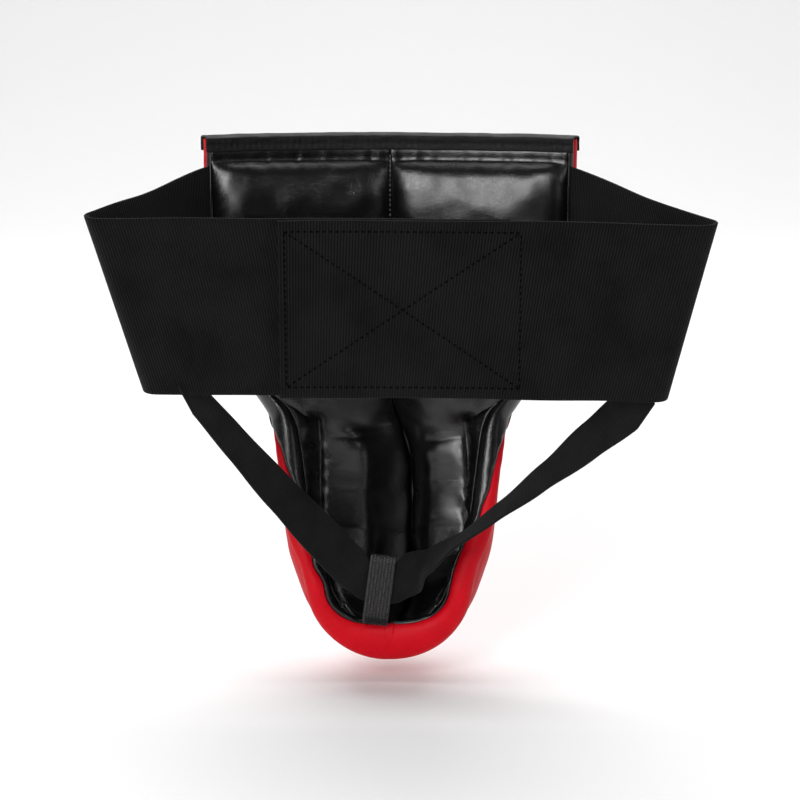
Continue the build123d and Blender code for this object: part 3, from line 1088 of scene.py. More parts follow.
# ---------------------------------------------------------------- the guard
@dataclass
class Guard:
    """Padded panel and cup: lining, front cover, rolled rim, top binding and their stitching."""

    wall: Wall
    palette: Palette
    body: str = "guard"
    binding_depth: float = 0.0088
    strip_bottom: float = 0.0138
    gusset_share: float = 0.72
    pillow: float = 0.0035
    lining_thick: float = 0.0009
    seam_depth: float = 0.0011
    lip: float = 0.0105
    tape_sunk: float = 0.0003
    centre_shift: float = 0.17
    seam_rise: float = 0.55
    roll_height: float = 0.012
    roll_width: float = 0.23
    roll_left: float = 0.44
    roll_right: float = 0.33
    gusset_valley: float = 0.003
    band_reach: float = 0.020
    seam_stitched_to: float = 0.075
    panel_bulge: float = 0.0026
    # Share of the rounding at which black turns to red, by height of the wall's edge.
    seam_left: tuple = (
        (-0.190, 0.30),
        (-0.176, 0.50),
        (-0.160, 0.36),
        (-0.137, 0.38),
        (-0.110, 0.64),
        (-0.096, 0.80),
        (-0.085, 1.06),
        (-0.060, 1.06),
        (-0.035, 0.35),
    )
    seam_right: tuple = (
        (-0.192, 0.10),
        (-0.165, 0.20),
        (-0.145, 0.45),
        (-0.128, 0.62),
        (-0.110, 0.70),
        (-0.096, 0.84),
        (-0.085, 1.06),
        (-0.060, 1.06),
        (-0.035, 0.35),
    )

    def __post_init__(self) -> None:
        """Prepares the rim's path."""
        self.rim = RimPath(self.wall)

    # -------------------------------------------------- lining
    def middle_shift(self, t: float) -> float:
        """Where the lining's centre seam runs.

        Args:
            t: metres down the middle.

        Returns:
            Share of the half section, to the right.
        """
        start = self.wall.cup_start
        return self.centre_shift * smooth((t - start + 0.03) / 0.06) * (1 - smooth((t - start - 0.11) / 0.06))

    def in_cup(self, t: float) -> float:
        """How much a place belongs to the cup rather than to the panel or the foot.

        Args:
            t: metres down the middle.

        Returns:
            Share from 0 to 1.
        """
        wall = self.wall
        return smooth((t - wall.cup_start + 0.02) / 0.04) * (1 - smooth((t - wall.length + 0.05) / 0.05))

    def seam_height(self, t: float) -> float:
        """How far the panel's centre seam stands towards the wearer.

        Args:
            t: metres down the middle.

        Returns:
            Metres from the wall's face.
        """
        over = smooth((t - self.strip_bottom) / 0.007)
        return self.seam_rise * self.pillow * over * (1 - self.in_cup(t))

    def lining(self, side: Side) -> list[bpy.types.Object]:
        """Lining of one side: panel, cup and gusset, swollen together and cut apart at their seams.

        Args:
            side: which half.

        Returns:
            The lining and the gusset.
        """
        wall = self.wall
        columns, rows = 44, 150
        start = self.binding_depth - 0.002
        length = wall.length - start
        gusset_column = round(columns * self.gusset_share)
        roll = self.roll_left if side is Side.LEFT else self.roll_right

        def across(share: float, t: float) -> float:
            """Share of the half section, from the centre seam's own place."""
            shift = self.middle_shift(t) * side.value
            return shift + (1 - shift) * share

        def place(share: float, along: float) -> Vector:
            """Point of the swollen lining."""
            t = start + length * along
            s = across(share, t)
            section = wall.section(t)
            over = smooth((t - self.strip_bottom) / 0.007)
            width = section.half
            from_middle = share * width
            from_edge = (1 - share) * width
            in_cup = self.in_cup(t)
            low = self.seam_height(t)
            swell = low + (self.pillow * over - low) * (1 - exp(-from_middle / 0.006))
            swell *= 1 - exp(-from_edge / (0.0045 + 0.0035 * in_cup))
            valley = bell((share - self.gusset_share) * width, 0.006)
            swell += self.roll_height * in_cup * bell(share - roll, self.roll_width)
            swell -= self.gusset_valley * in_cup * valley
            p = wall.point(t, s, -max(0.0002, swell))
            p.x += 0.0012 * ripple(p.x, p.y, p.z, 0.035) * over * (1 - share)
            return mirrored(p, side)

        def towards_wearer(share: float, along: float) -> Vector:
            """Direction that the lining faces."""
            section = wall.section(start + length * along)
            return mirrored(-section.normal(section.edge * across(share, start)), side)

        bm = Mesh.grid(columns, rows, place, (0.11, length), None, towards_wearer)
        whole = Mesh.finish(f"lining_{side.word}", bm)
        cup_row = round((wall.cup_start - start) / length * rows)
        strip_row = round((self.strip_bottom - start) / length * rows)
        pinned = []
        for row in range(rows + 1):
            for column in range(columns + 1):
                edge = column in (0, columns) or row == rows or row <= strip_row
                gusset = column == gusset_column and row > cup_row - 4
                if edge or gusset:
                    pinned.append(row * (columns + 1) + column)
        Inflation().run(whole, pinned)
        self.pucker(whole, columns, strip_row, gusset_column, cup_row, side)
        pieces = []
        parts = {
            "lining_shell": (
                lambda row, column: row < cup_row or column < gusset_column,
                (f"panel_lining_{side.word}", f"cup_lining_{side.word}"),
            ),
            "gusset_shell": (
                lambda row, column: row >= cup_row - 1 and column >= gusset_column - 1,
                (f"cup_gusset_{side.word}",),
            ),
        }
        for stem, (keep, nodes) in parts.items():
            bm = bmesh.new()
            bm.from_mesh(whole.data)
            bm.faces.ensure_lookup_table()
            gone = [f for f in bm.faces if not keep(f.index // columns, f.index % columns)]
            bmesh.ops.delete(bm, geom=gone, context="FACES")
            piece = Mesh.finish(f"{stem}_{side.word}", bm, self.palette.lining)
            Mesh.thicken(piece, self.lining_thick)
            Mesh.refine(piece)
            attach(piece, self.body)
            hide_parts(*nodes)
            pieces.append(piece)
        gone = whole.data
        bpy.data.objects.remove(whole)
        bpy.data.meshes.remove(gone)
        return pieces

    def pucker(
        self,
        obj: bpy.types.Object,
        columns: int,
        strip_row: int,
        gusset_column: int,
        cup_row: int,
        side: Side,
    ) -> None:
        """Presses the gathers and seam valleys into the lining.

        Args:
            obj: the whole lining of one side.
            columns: faces across.
            strip_row: row of the stitch line under the binding.
            gusset_column: column of the gusset's seam.
            cup_row: row where the cup starts.
            side: which half.
        """
        normals = [v.normal.copy() for v in obj.data.vertices]
        for v, normal in zip(obj.data.vertices, normals):
            row, column = divmod(v.index, columns + 1)
            p = v.co
            near_strip = bell(row - strip_row, 2.2)
            gather = 0.0009 * near_strip * ripple(p.x, 0.0, 0.0, 0.0046)
            gather -= 0.0007 * bell(row - strip_row, 0.9)
            if row > cup_row - 6:
                part = smooth((row - cup_row + 6) / 8)
                beyond = column - gusset_column
                fan = bell(beyond - 5, 6.0) if beyond >= 0 else bell(beyond, 2.5)
                gather += 0.0016 * part * fan * ripple(p.z + 0.25 * p.x, side.value * 3.0, 0.0, 0.0075)
                gather -= 0.0012 * part * bell(beyond, 0.9)
            gather += 0.0006 * ripple(p.x, p.y, p.z, 0.014) * smooth((row - strip_row) / 6)
            v.co = p + normal * gather

    # -------------------------------------------------- rolled edge
    def seam_share(self, sample: RimSample, side: Side) -> float:
        """Where black turns to red on the rounding.

        Args:
            sample: place on the rim.
            side: which half.

        Returns:
            Share of the rounding, from the wearer's face.
        """
        rows = self.seam_left if side is Side.LEFT else self.seam_right
        return table(rows, sample.corner.z) * (1 - sample.foot) + 0.06 * sample.foot

    def bulge(self, sample: RimSample) -> float:
        """How far the rounding stands proud of the wall's edge.

        Args:
            sample: place on the rim.

        Returns:
            Metres.
        """
        growth = smooth((-0.04 - sample.corner.z) / 0.06)
        return self.panel_bulge + (self.wall.sizes.roll - self.panel_bulge) * growth

    def edge_point(self, sample: RimSample, q: float) -> Vector:
        """Point on the rounding, or on the wall's faces beside it.

        Args:
            sample: place on the rim.
            q: 0 to 1 over the rounding; below 0, metres along the wearer's face; above 1, along the front.

        Returns:
            The point.
        """
        wall = self.wall
        thick = wall.sizes.thick
        lip = -self.lip * sample.foot
        if 0 <= q <= 1:
            n = lip + (thick + 0.0008 - lip) / 2 * (1 - cos(pi * q))
            square = abs(sin(pi * q)) ** 0.85
            return sample.corner + sample.through * n + sample.facing * (self.bulge(sample) * square)
        if q < 0:
            d = -q
            away = smooth(d / self.band_reach)
            rise = lip * (1 - away) - 0.0006 * away
            return self.beside(sample, d, rise)
        d = q - 1
        return self.beside(sample, d, thick + 0.0008 - 0.0028 * smooth((d - 0.004) / 0.016))

    def beside(self, sample: RimSample, distance: float, off: float) -> Vector:
        """Point on the wall near its edge.

        Args:
            sample: place on the rim.
            distance: metres in from the edge.
            off: metres outwards from the wearer's face.

        Returns:
            The point.
        """
        section = self.wall.section(sample.t)
        side_point = section.point(section.edge - distance / (section.radius + off), off)
        if sample.share >= 1.0 and sample.foot <= 0:
            return side_point
        foot_point = self.wall.point(self.wall.length - distance, sample.share, off)
        mix = smooth(sample.foot * 6)
        return side_point.lerp(foot_point, mix) if sample.share > 0.5 else foot_point

    def edge_piece(self, side: Side, red: bool) -> bpy.types.Object:
        """Leather on the rounded edge, from the panel's top corner to the middle of the foot.

        Args:
            side: which half.
            red: the front's red leather, or the lining's black.

        Returns:
            The piece.
        """
        rim = self.rim
        rows = len(rim.samples) - 1
        columns = 22 if red else 16
        seed = 5.0 * side.value

        def reach(sample: RimSample, share: float) -> float:
            """Place over the rim's rounding, from the seam to the piece's far edge."""
            seam = self.seam_share(sample, side)
            if red:
                q = seam + (1.9 - seam) * share
            else:
                inner = 0.55 * smooth(sample.foot * 3)
                q = seam - (seam + inner) * share
            if q > 1:
                return 1 + (q - 1) / 0.9 * self.band_reach
            return q if q >= 0 else q / 0.55 * self.band_reach

        def place(share: float, along: float) -> Vector:
            """Point of the band."""
            sample = rim.at(along)
            return mirrored(self.edge_point(sample, reach(sample, share)), side)

        def relief(share: float, along: float) -> float:
            """Seam groove, gathers and slack of the band."""
            sample = rim.at(along)
            width = 0.022
            from_seam = share * width
            dip = -self.seam_depth * bell(from_seam, 0.0016)
            gather = 0.00055 * bell(from_seam - 0.002, 0.004) * ripple(sample.run, seed, 0.0, 0.0055)
            swell = 0.0004 * ripple(sample.run, seed, share * 0.02, 0.02)
            centre = -0.0004 * bell(rim.length - sample.run, 0.0016)
            return dip + gather + swell + centre

        def outwards(share: float, along: float) -> Vector:
            """Direction that the band faces."""
            sample = rim.at(along)
            way = sample.facing + sample.through * (0.8 if red else -0.4)
            return mirrored(way, side)

        bm = Mesh.grid(columns, rows, place, (0.025, rim.length), relief, outwards)
        stem = "rim_band" if red else "rim_lining"
        material = self.palette.cover if red else self.palette.lining
        piece = Mesh.finish(f"{stem}_{side.word}", bm, material)
        Mesh.thicken(piece, self.lining_thick)
        Mesh.refine(piece)
        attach(piece, self.body)
        if red:
            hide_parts(f"rim_cover_{side.word}", f"foot_cover_{side.word}", f"rim_roll_{side.word}")
            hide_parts("rim_roll_foot")
        return piece

    def foot_tape(self) -> bpy.types.Object:
        """Red tape behind the seam where the two halves of the rim meet under the foot.

        Returns:
            The piece.
        """
        last = self.rim.samples[-1]
        width = 0.006

        def place(across: float, along: float) -> Vector:
            """Point of the tape."""
            p = self.edge_point(last, 0.08 + 0.90 * along)
            return Vector(((across - 0.5) * width, p.y, p.z))

        bm = Mesh.grid(
            4,
            24,
            place,
            (width, 0.03),
            lambda across, along: -self.tape_sunk,
            lambda across, along: last.facing,
        )
        piece = Mesh.finish("foot_seam_tape", bm, self.palette.cover)
        Mesh.thicken(piece, 0.0006)
        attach(piece, self.body)
        return piece

    # -------------------------------------------------- front
    def front(self, side: Side) -> bpy.types.Object:
        """Red front of one side, padded over the panel and the cup.

        Args:
            side: which half.

        Returns:
            The piece.
        """
        wall = self.wall
        start = 0.004
        length = wall.length - start
        columns, rows = 46, 140
        waist = wall.cup_start - 0.018

        def place(share: float, along: float) -> Vector:
            """Point of the front, tucked in under the binding."""
            t = start + length * along
            under_tape = 1 - smooth((t - self.binding_depth) / 0.003)
            off = wall.sizes.thick + 0.0003 - 0.0006 * under_tape
            return mirrored(wall.point(t, share * 0.995, off), side)

        def relief(share: float, along: float) -> float:
            """Padding, seam grooves and creases of the front."""
            t = start + length * along
            section = wall.section(t)
            from_middle = share * section.edge * section.radius
            from_top = t - 0.012
            from_foot = wall.length - t
            from_edge = min((1 - share) * section.edge * section.radius, from_foot)
            near_edge = 1 - exp(-from_edge / 0.018)
            near_edge *= smooth((t - self.binding_depth) / 0.006)
            centre = bell(from_middle, 0.0022) * smooth(from_foot / 0.03)
            seam = -self.seam_depth * max(centre, bell(t - waist, 0.0024))
            seam -= 0.0003 * bell(from_top, 0.0018)
            swell = 0.0022 * (1 - exp(-from_middle / 0.01)) * (1 - exp(-abs(t - waist) / 0.012))
            p = wall.point(t, share, 0.0)
            folds = 0.0006 * ripple(p.x, side.value, p.z, 0.03)
            folds += 0.0003 * ripple(p.x, side.value, p.z, 0.009)
            pull = 0.0004 * bell(from_middle - 0.004, 0.005) * ripple(t, side.value, 0.0, 0.006)
            return seam + (swell + folds + pull) * near_edge

        def away(share: float, along: float) -> Vector:
            """Direction that the front faces."""
            section = wall.section(start + length * along)
            return mirrored(section.normal(section.edge * share), side)

        bm = Mesh.grid(columns, rows, place, (0.12, length), relief, away)
        piece = Mesh.finish(f"front_shell_{side.word}", bm, self.palette.cover)
        Mesh.thicken(piece, self.lining_thick)
        Mesh.refine(piece)
        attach(piece, self.body)
        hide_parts(f"front_cover_{side.word}")
        return piece

    def front_stitching(self) -> bpy.types.Object:
        """Topstitching beside the front's centre seam and waist seam.

        Returns:
            The stitches.
        """
        wall = self.wall
        stitches = Stitches("front_topstitching", self.body, self.palette.thread, 0.0030, 0.0005)
        off = wall.sizes.thick + 0.0012
        waist = wall.cup_start - 0.018
        for x in (-0.0045, 0.0045):
            points, normals = [], []
            t = 0.016
            while t < wall.length - 0.045:
                section = wall.section(t)
                angle = x / (section.radius + off)
                points.append(section.point(angle, off))
                normals.append(section.normal(angle))
                t += 0.001
            stitches.row(points, normals, 0.0040)
        for shift in (-0.005, 0.005):
            section = wall.section(waist + shift)
            angles = [section.edge * k / 200 for k in range(-190, 191)]
            points = [section.point(a, off) for a in angles]
            stitches.row(points, [section.normal(a) for a in angles], 0.0040)
        return stitches.build()

    # -------------------------------------------------- binding
    def binding(self) -> bpy.types.Object:
        """Folded tape over the panel's top edge.

        Returns:
            The piece.
        """
        wall = self.wall
        section = wall.section(0.0)
        thick = wall.sizes.thick
        tape = 0.0011
        top = wall.sizes.pad_top + tape
        end = section.edge + 0.0030 / section.radius
        depth = self.binding_depth
        profile = []
        for k in range(8):
            profile.append((-tape, -depth + depth * k / 8))
        for k in range(9):
            a = pi * k / 8
            profile.append((thick / 2 - (thick / 2 + tape) * cos(a), 0.0016 * sin(a) - 0.0004))
        for k in range(1, 9):
            profile.append((thick + tape, -depth * k / 8))
        lengths = running_lengths(profile)

        def place(across: float, along: float) -> Vector:
            """Point of the tape over its profile."""
            i = min(len(profile) - 1, round(across * (len(profile) - 1)))
            off, z = profile[i]
            angle = -end + 2 * end * along
            p = section.point(angle, off)
            wave = 0.0006 * ripple(angle * section.radius, 0.0, 1.0, 0.03)
            return Vector((p.x, p.y, top + z + wave))

        def relief(across: float, along: float) -> float:
            """Stitch groove and puckers of the tape."""
            i = min(len(profile) - 1, round(across * (len(profile) - 1)))
            z = profile[i][1]
            x = (2 * along - 1) * end * section.radius
            groove = -0.0004 * bell(z + depth / 2, 0.0012)
            pucker = 0.00022 * bell(z + depth / 2, 0.003) * sin(2 * pi * x / 0.0038)
            lump = 0.0003 * ripple(x, across, 0.0, 0.008)
            return groove + pucker + lump

        bm = Mesh.grid(
            len(profile) - 1,
            170,
            place,
            (lengths[-1], 2 * end * section.radius),
            relief,
            lambda across, along: UP,
        )
        piece = Mesh.finish("top_binding_tape", bm, self.palette.binding)
        Mesh.thicken(piece, tape)
        Mesh.refine(piece)
        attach(piece, self.body)
        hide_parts("top_binding")
        return piece

    def seam_stitching(self) -> list[bpy.types.Object]:
        """Stitches along the binding, the strip under it and the lining's centre seam.

        Returns:
            The stitches, by thread.
        """
        wall = self.wall
        section = wall.section(0.0)
        dark = Stitches("binding_running_stitch", self.body, self.palette.thread, 0.0026, 0.0005)
        z = wall.sizes.pad_top + 0.0011 - self.binding_depth / 2
        angles = [section.edge * k / 300 for k in range(-298, 299)]

        def at(angle: float, off: float, height: float) -> Vector:
            """Point of a level row at an angle from the middle."""
            p = section.point(angle, off)
            return Vector((p.x, p.y, height))

        inwards = [-section.normal(a) for a in angles]
        dark.row([at(a, -0.0012, z) for a in angles], inwards, 0.0038)
        outwards = [section.normal(a) for a in angles]
        dark.row([at(a, wall.sizes.thick + 0.0014, z) for a in angles], outwards, 0.0038)
        made = [dark.build()]
        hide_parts("binding_stitching")
        red = Stitches("strip_stitch", self.body, self.palette.red_thread, 0.0014, 0.0004)
        z = wall.sizes.pad_top - self.strip_bottom
        red.row([at(a, 0.0003, z) for a in angles], inwards, 0.0042)
        made.append(red.build())
        pale = Stitches("centre_seam_stitch", self.body, self.palette.pale_thread, 0.0017, 0.0004)
        points, normals = [], []
        t = self.binding_depth + 0.001
        while t < self.seam_stitched_to:
            s = wall.section(t)
            points.append(s.point(0.0, -self.seam_height(t) - 0.0008))
            normals.append(-s.normal(0.0))
            t += 0.001
        pale.row(points, normals, 0.0030)
        made.append(pale.build())
        return made

    def dress_core(self) -> None:
        """Gives the foam layers and the hard cup their materials."""
        for name in ("panel_foam", "cup_inner_foam", "cup_outer_foam"):
            self.dress(name, self.palette.foam)
        self.dress("hard_cup", self.palette.shell)

    @staticmethod
    def dress(name: str, material: bpy.types.Material) -> None:
        """Puts a material on a CAD node.

        Args:
            name: the node.
            material: its material.
        """
        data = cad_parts[name].data
        data.materials.clear()
        data.materials.append(material)

    def build(self) -> None:
        """Builds every piece of the guard."""
        for side in Side:
            self.lining(side)
            LOG.info("lining %s", side.word)
            self.edge_piece(side, red=False)
            self.edge_piece(side, red=True)
            self.front(side)
            LOG.info("rim and front %s", side.word)
        self.foot_tape()
        self.binding()
        self.seam_stitching()
        self.front_stitching()
        self.dress_core()
        LOG.info("binding and stitching")


# ---------------------------------------------------------------- belt
@dataclass(frozen=True)
class BeltSizes:
    """Sizes of the belt, the same as the CAD model's."""

    height: float = 0.1030
    thick: float = 0.002
    attach_z: float = 0.062
    near_top: float = 0.0485
    near_y: float = -0.076
    near_lean: float = 0.011
    reach_left: float = 0.175
    reach_right: float = 0.193
    taper_left: float = 0.0335
    taper_right: float = 0.0275
    fold: float = 0.009
    seam_x: float = 0.1124979
    seam_y: float = 0.0544218
    level: float = 0.0047
    patch_left: float = -0.058
    patch_right: float = 0.078
    flap_end: float = -0.060
    hinge_x: float = 0.082
    patch_thick: float = 0.0012
    patch_inset: float = 0.0045
    loop_margin: float = 0.008
    far_rise: float = 0.0035
    right_drop: float = 0.0022
    flap_lift: float = 0.0022

    @property
    def slope(self) -> float:
        """Rise of the belt's edges for each metre towards the panel."""
        return (self.attach_z - self.near_top) / (0.050 - self.near_y)

    def edge_z(self, y: float, bottom: bool) -> float:
        """Height of the belt's top or bottom edge.

        Args:
            y: place in the plan.
            bottom: the bottom edge.

        Returns:
            Height.
        """
        if bottom:
            return self.near_top - self.height + self.slope * (y - self.near_y - self.near_lean)
        rise = self.far_rise * smooth((y + 0.02) / 0.07)
        return self.near_top + self.slope * (y - self.near_y) + rise


@dataclass
class Ribbon:
    """One edge line of a belt half in plan: seam, rounded fold and free end."""

    seam: Vector
    fold: Vector
    end: Vector
    turn: int
    radius: float

    def __post_init__(self) -> None:
        """Works out the fold's arc."""
        self.way1 = (self.fold - self.seam).normalized()
        self.way2 = (self.end - self.fold).normalized()
        bend = self.way1.angle(self.way2)
        back = self.radius * tan(bend / 2)
        self.p1 = self.fold - self.way1 * back
        self.p2 = self.fold + self.way2 * back
        self.arc = bend * self.radius
        self.bend = bend
        self.first = (self.p1 - self.seam).length
        self.last = (self.end - self.p2).length
        self.length = self.first + self.arc + self.last

    def at(self, share: float, lanes: tuple[float, float]) -> tuple[Vector, Vector]:
        """Point and sideways direction of the line.

        Args:
            share: 0 at the seam, lanes[0] and lanes[1] at the fold's ends, 1 at the free end.
            lanes: shares at which the fold starts and ends.

        Returns:
            The point in plan and the unit vector to its left.
        """
        if share <= lanes[0]:
            p = self.seam.lerp(self.p1, share / lanes[0])
            return p, Vector((-self.way1.y, self.way1.x))
        if share >= lanes[1]:
            p = self.p2.lerp(self.end, (share - lanes[1]) / (1 - lanes[1]))
            return p, Vector((-self.way2.y, self.way2.x))
        f = (share - lanes[0]) / (lanes[1] - lanes[0])
        angle = self.bend * f * self.turn
        side1 = Vector((-self.way1.y, self.way1.x))
        centre = self.p1 + side1 * (self.radius * self.turn)
        turn = Matrix.Rotation(angle, 2)
        return centre + turn @ (self.p1 - centre), turn @ side1


@dataclass
class Belt:
    """Waist belt: two elastic halves, the flap with its hook patch, and the loop patch."""

    palette: Palette
    sizes: BeltSizes = field(default_factory=BeltSizes)

    @staticmethod
    def wave(x: float, up: float) -> float:
        """Soft unevenness of the crossing part, shared by all its layers.

        Args:
            x: place across.
            up: share of the height.

        Returns:
            Metres towards the wearer.
        """
        return 0.0007 * ripple(x, up * 0.05, 0.0, 0.06) + 0.0004 * sin(x * 55.0) * (up - 0.5)

    def sink(self, x: float) -> float:
        """How much lower the belt hangs towards its right-hand fold.

        Args:
            x: place across.

        Returns:
            Metres.
        """
        return self.sizes.right_drop * smooth((x - 0.02) / 0.17)

    def lift(self, x: float, up: float) -> float:
        """How far the flap's free end stands off the loop patch.

        Args:
            x: place across.
            up: share of the height.

        Returns:
            Metres towards the wearer.
        """
        share = smooth((self.sizes.flap_end + 0.016 - x) / 0.016)
        return self.sizes.flap_lift * share**1.5 * (1 + 0.35 * sin(up * 9))

    def half(self, side: Side) -> bpy.types.Object:
        """One half of the belt, closed flap included on the right.

        Args:
            side: which half.

        Returns:
            The piece.
        """
        s = self.sizes
        right = side is Side.RIGHT
        reach, taper = (s.reach_right, s.taper_right) if right else (s.reach_left, s.taper_left)
        level = 0.0 if right else s.level
        end_x = s.flap_end if right else s.patch_right - s.loop_margin
        lines = []
        for bottom in (False, True):
            y = s.near_y + level + (s.near_lean if bottom else 0.0)
            fold_x = side.value * (reach - (taper if bottom else 0.0))
            seam = Vector((side.value * (s.seam_x - 0.0042), s.seam_y - 0.0006))
            lines.append(Ribbon(seam, Vector((fold_x, y)), Vector((end_x, y)), -side.value, s.fold))
        top, low = lines
        lanes = (top.first / top.length, (top.first + top.arc) / top.length)
        columns, rows = 26, 230

        def place(across: float, along: float) -> Vector:
            """Point of the belt's half."""
            up = across
            a, side_a = low.at(along, lanes)
            b, side_b = top.at(along, lanes)
            foot = Vector((a.x, a.y, s.edge_z(a.y, True)))
            head = Vector((b.x, b.y, s.edge_z(b.y, False)))
            p = foot.lerp(head, up)
            normal = side_a.lerp(side_b, up).to_3d().normalized()
            crossing = smooth((along - lanes[1]) / 0.06)
            far = smooth((lanes[0] - along) / 0.12) * smooth(along / 0.06)
            shift = self.wave(p.x, up) * crossing
            shift += far * (0.0016 * ripple(p.x, p.y, p.z, 0.045))
            p += normal * shift * side.value
            edge = bell(up - 1, 0.10) + bell(up, 0.10)
            p.z -= self.sink(p.x) * smooth(along / 0.25)
            uneven = ripple(p.x + level, p.y, 2.0 if up > 0.5 else 5.0, 0.05)
            p.z += 0.0007 * uneven * edge * smooth(along / 0.05)
            if right:
                p.y -= self.lift(p.x, up) * crossing
            return p

        bm = Mesh.grid(columns, rows, place, (s.height, top.length), None, None)
        name = "belt_elastic_right" if right else "belt_elastic_left"
        piece = Mesh.finish(name, bm, self.palette.belt)
        Mesh.thicken(piece, s.thick, 0.0)
        bevel = piece.modifiers.new("soft edge", "BEVEL")
        bevel.width = 0.0006
        bevel.segments = 2
        bevel.limit_method = "ANGLE"
        bevel.angle_limit = radians(50)
        if right:
            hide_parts("belt_right", "closure_flap")
            y = s.near_y + s.near_lean / 2
            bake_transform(piece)
        else:
            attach(piece, "belt_left_half")
            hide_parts("belt_left")
        return piece

    def crossing(self, x: float, up: float, level: float) -> Vector:
        """Point on the crossing part.

        Args:
            x: place across.
            up: share of the height.
            level: distance in front of the flap's middle, away from the wearer.

        Returns:
            The point.
        """
        s = self.sizes
        low_y = s.near_y + s.near_lean + level
        high_y = s.near_y + level
        foot = Vector((x, low_y, s.edge_z(low_y, True)))
        head = Vector((x, high_y, s.edge_z(high_y, False)))
        p = foot.lerp(head, up)
        p.y -= self.wave(x, up)
        p.z -= self.sink(x)
        return p

    def patch(self, hooks: bool) -> bpy.types.Object:
        """Hook patch or loop patch.

        Args:
            hooks: the hook patch, on the flap.

        Returns:
            The piece.
        """
        s = self.sizes
        x0 = s.patch_left - (0.0 if hooks else s.loop_margin / 5)
        x1 = s.patch_right - (0.0 if hooks else s.loop_margin)
        middle = (s.thick + s.patch_thick) / 2
        level = middle if hooks else s.level - middle
        inset = s.patch_inset / s.height

        def place(across: float, along: float) -> Vector:
            """Point of the patch."""
            up = inset + (1 - 2 * inset) * across
            return self.crossing(x0 + (x1 - x0) * along, up, level)

        tall = s.height - 2 * s.patch_inset
        away = Vector((0.0, 1.0, 0.0)) if hooks else Vector((0.0, -1.0, 0.0))
        bm = Mesh.grid(18, 26, place, (tall, x1 - x0), None, lambda across, along: away)
        name = "hook_tape_patch" if hooks else "loop_tape_patch"
        piece = Mesh.finish(name, bm, self.palette.hooks if hooks else self.palette.loops)
        Mesh.thicken(piece, s.patch_thick, 0.0)
        bevel = piece.modifiers.new("soft edge", "BEVEL")
        bevel.width = 0.0004
        bevel.segments = 2
        bevel.limit_method = "ANGLE"
        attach(piece, "flap" if hooks else "belt_left_half")
        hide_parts("hook_patch" if hooks else "loop_patch")
        return piece

    def stitching(self) -> bpy.types.Object:
        """Box and cross of stitches on the flap.

        Returns:
            The stitches.
        """
        s = self.sizes
        # The flap's stitches use the thread painted with the shade of their holes.
        stitches = Stitches("flap_box_stitching", "flap", self.palette.shade_painted_thread, 0.0024, 0.0009)
        inset = (s.patch_inset + 0.002) / s.height
        x0, x1 = s.patch_left + 0.002, s.patch_right - 0.002
        corners = [(x0, inset), (x1, inset), (x1, 1 - inset), (x0, 1 - inset)]
        lines = list(zip(corners, corners[1:] + corners[:1]))
        lines += [(corners[0], corners[2]), (corners[1], corners[3])]
        for (xa, ua), (xb, ub) in lines:
            points = []
            for k in range(121):
                x, up = xa + (xb - xa) * k / 120, ua + (ub - ua) * k / 120
                point = self.crossing(x, up, -s.thick / 2 - 0.0001)
                point.y -= self.lift(x, up)
                points.append(point)
            normals = [Vector((0.0, -1.0, 0.11)).normalized()] * len(points)
            stitches.row(points, normals, 0.0036)
        made = stitches.build()
        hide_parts("flap_stitching")
        return made

    def build(self) -> None:
        """Builds every piece of the belt."""
        for side in Side:
            self.half(side)
        self.patch(hooks=True)
        self.patch(hooks=False)
        self.stitching()
        LOG.info("belt")


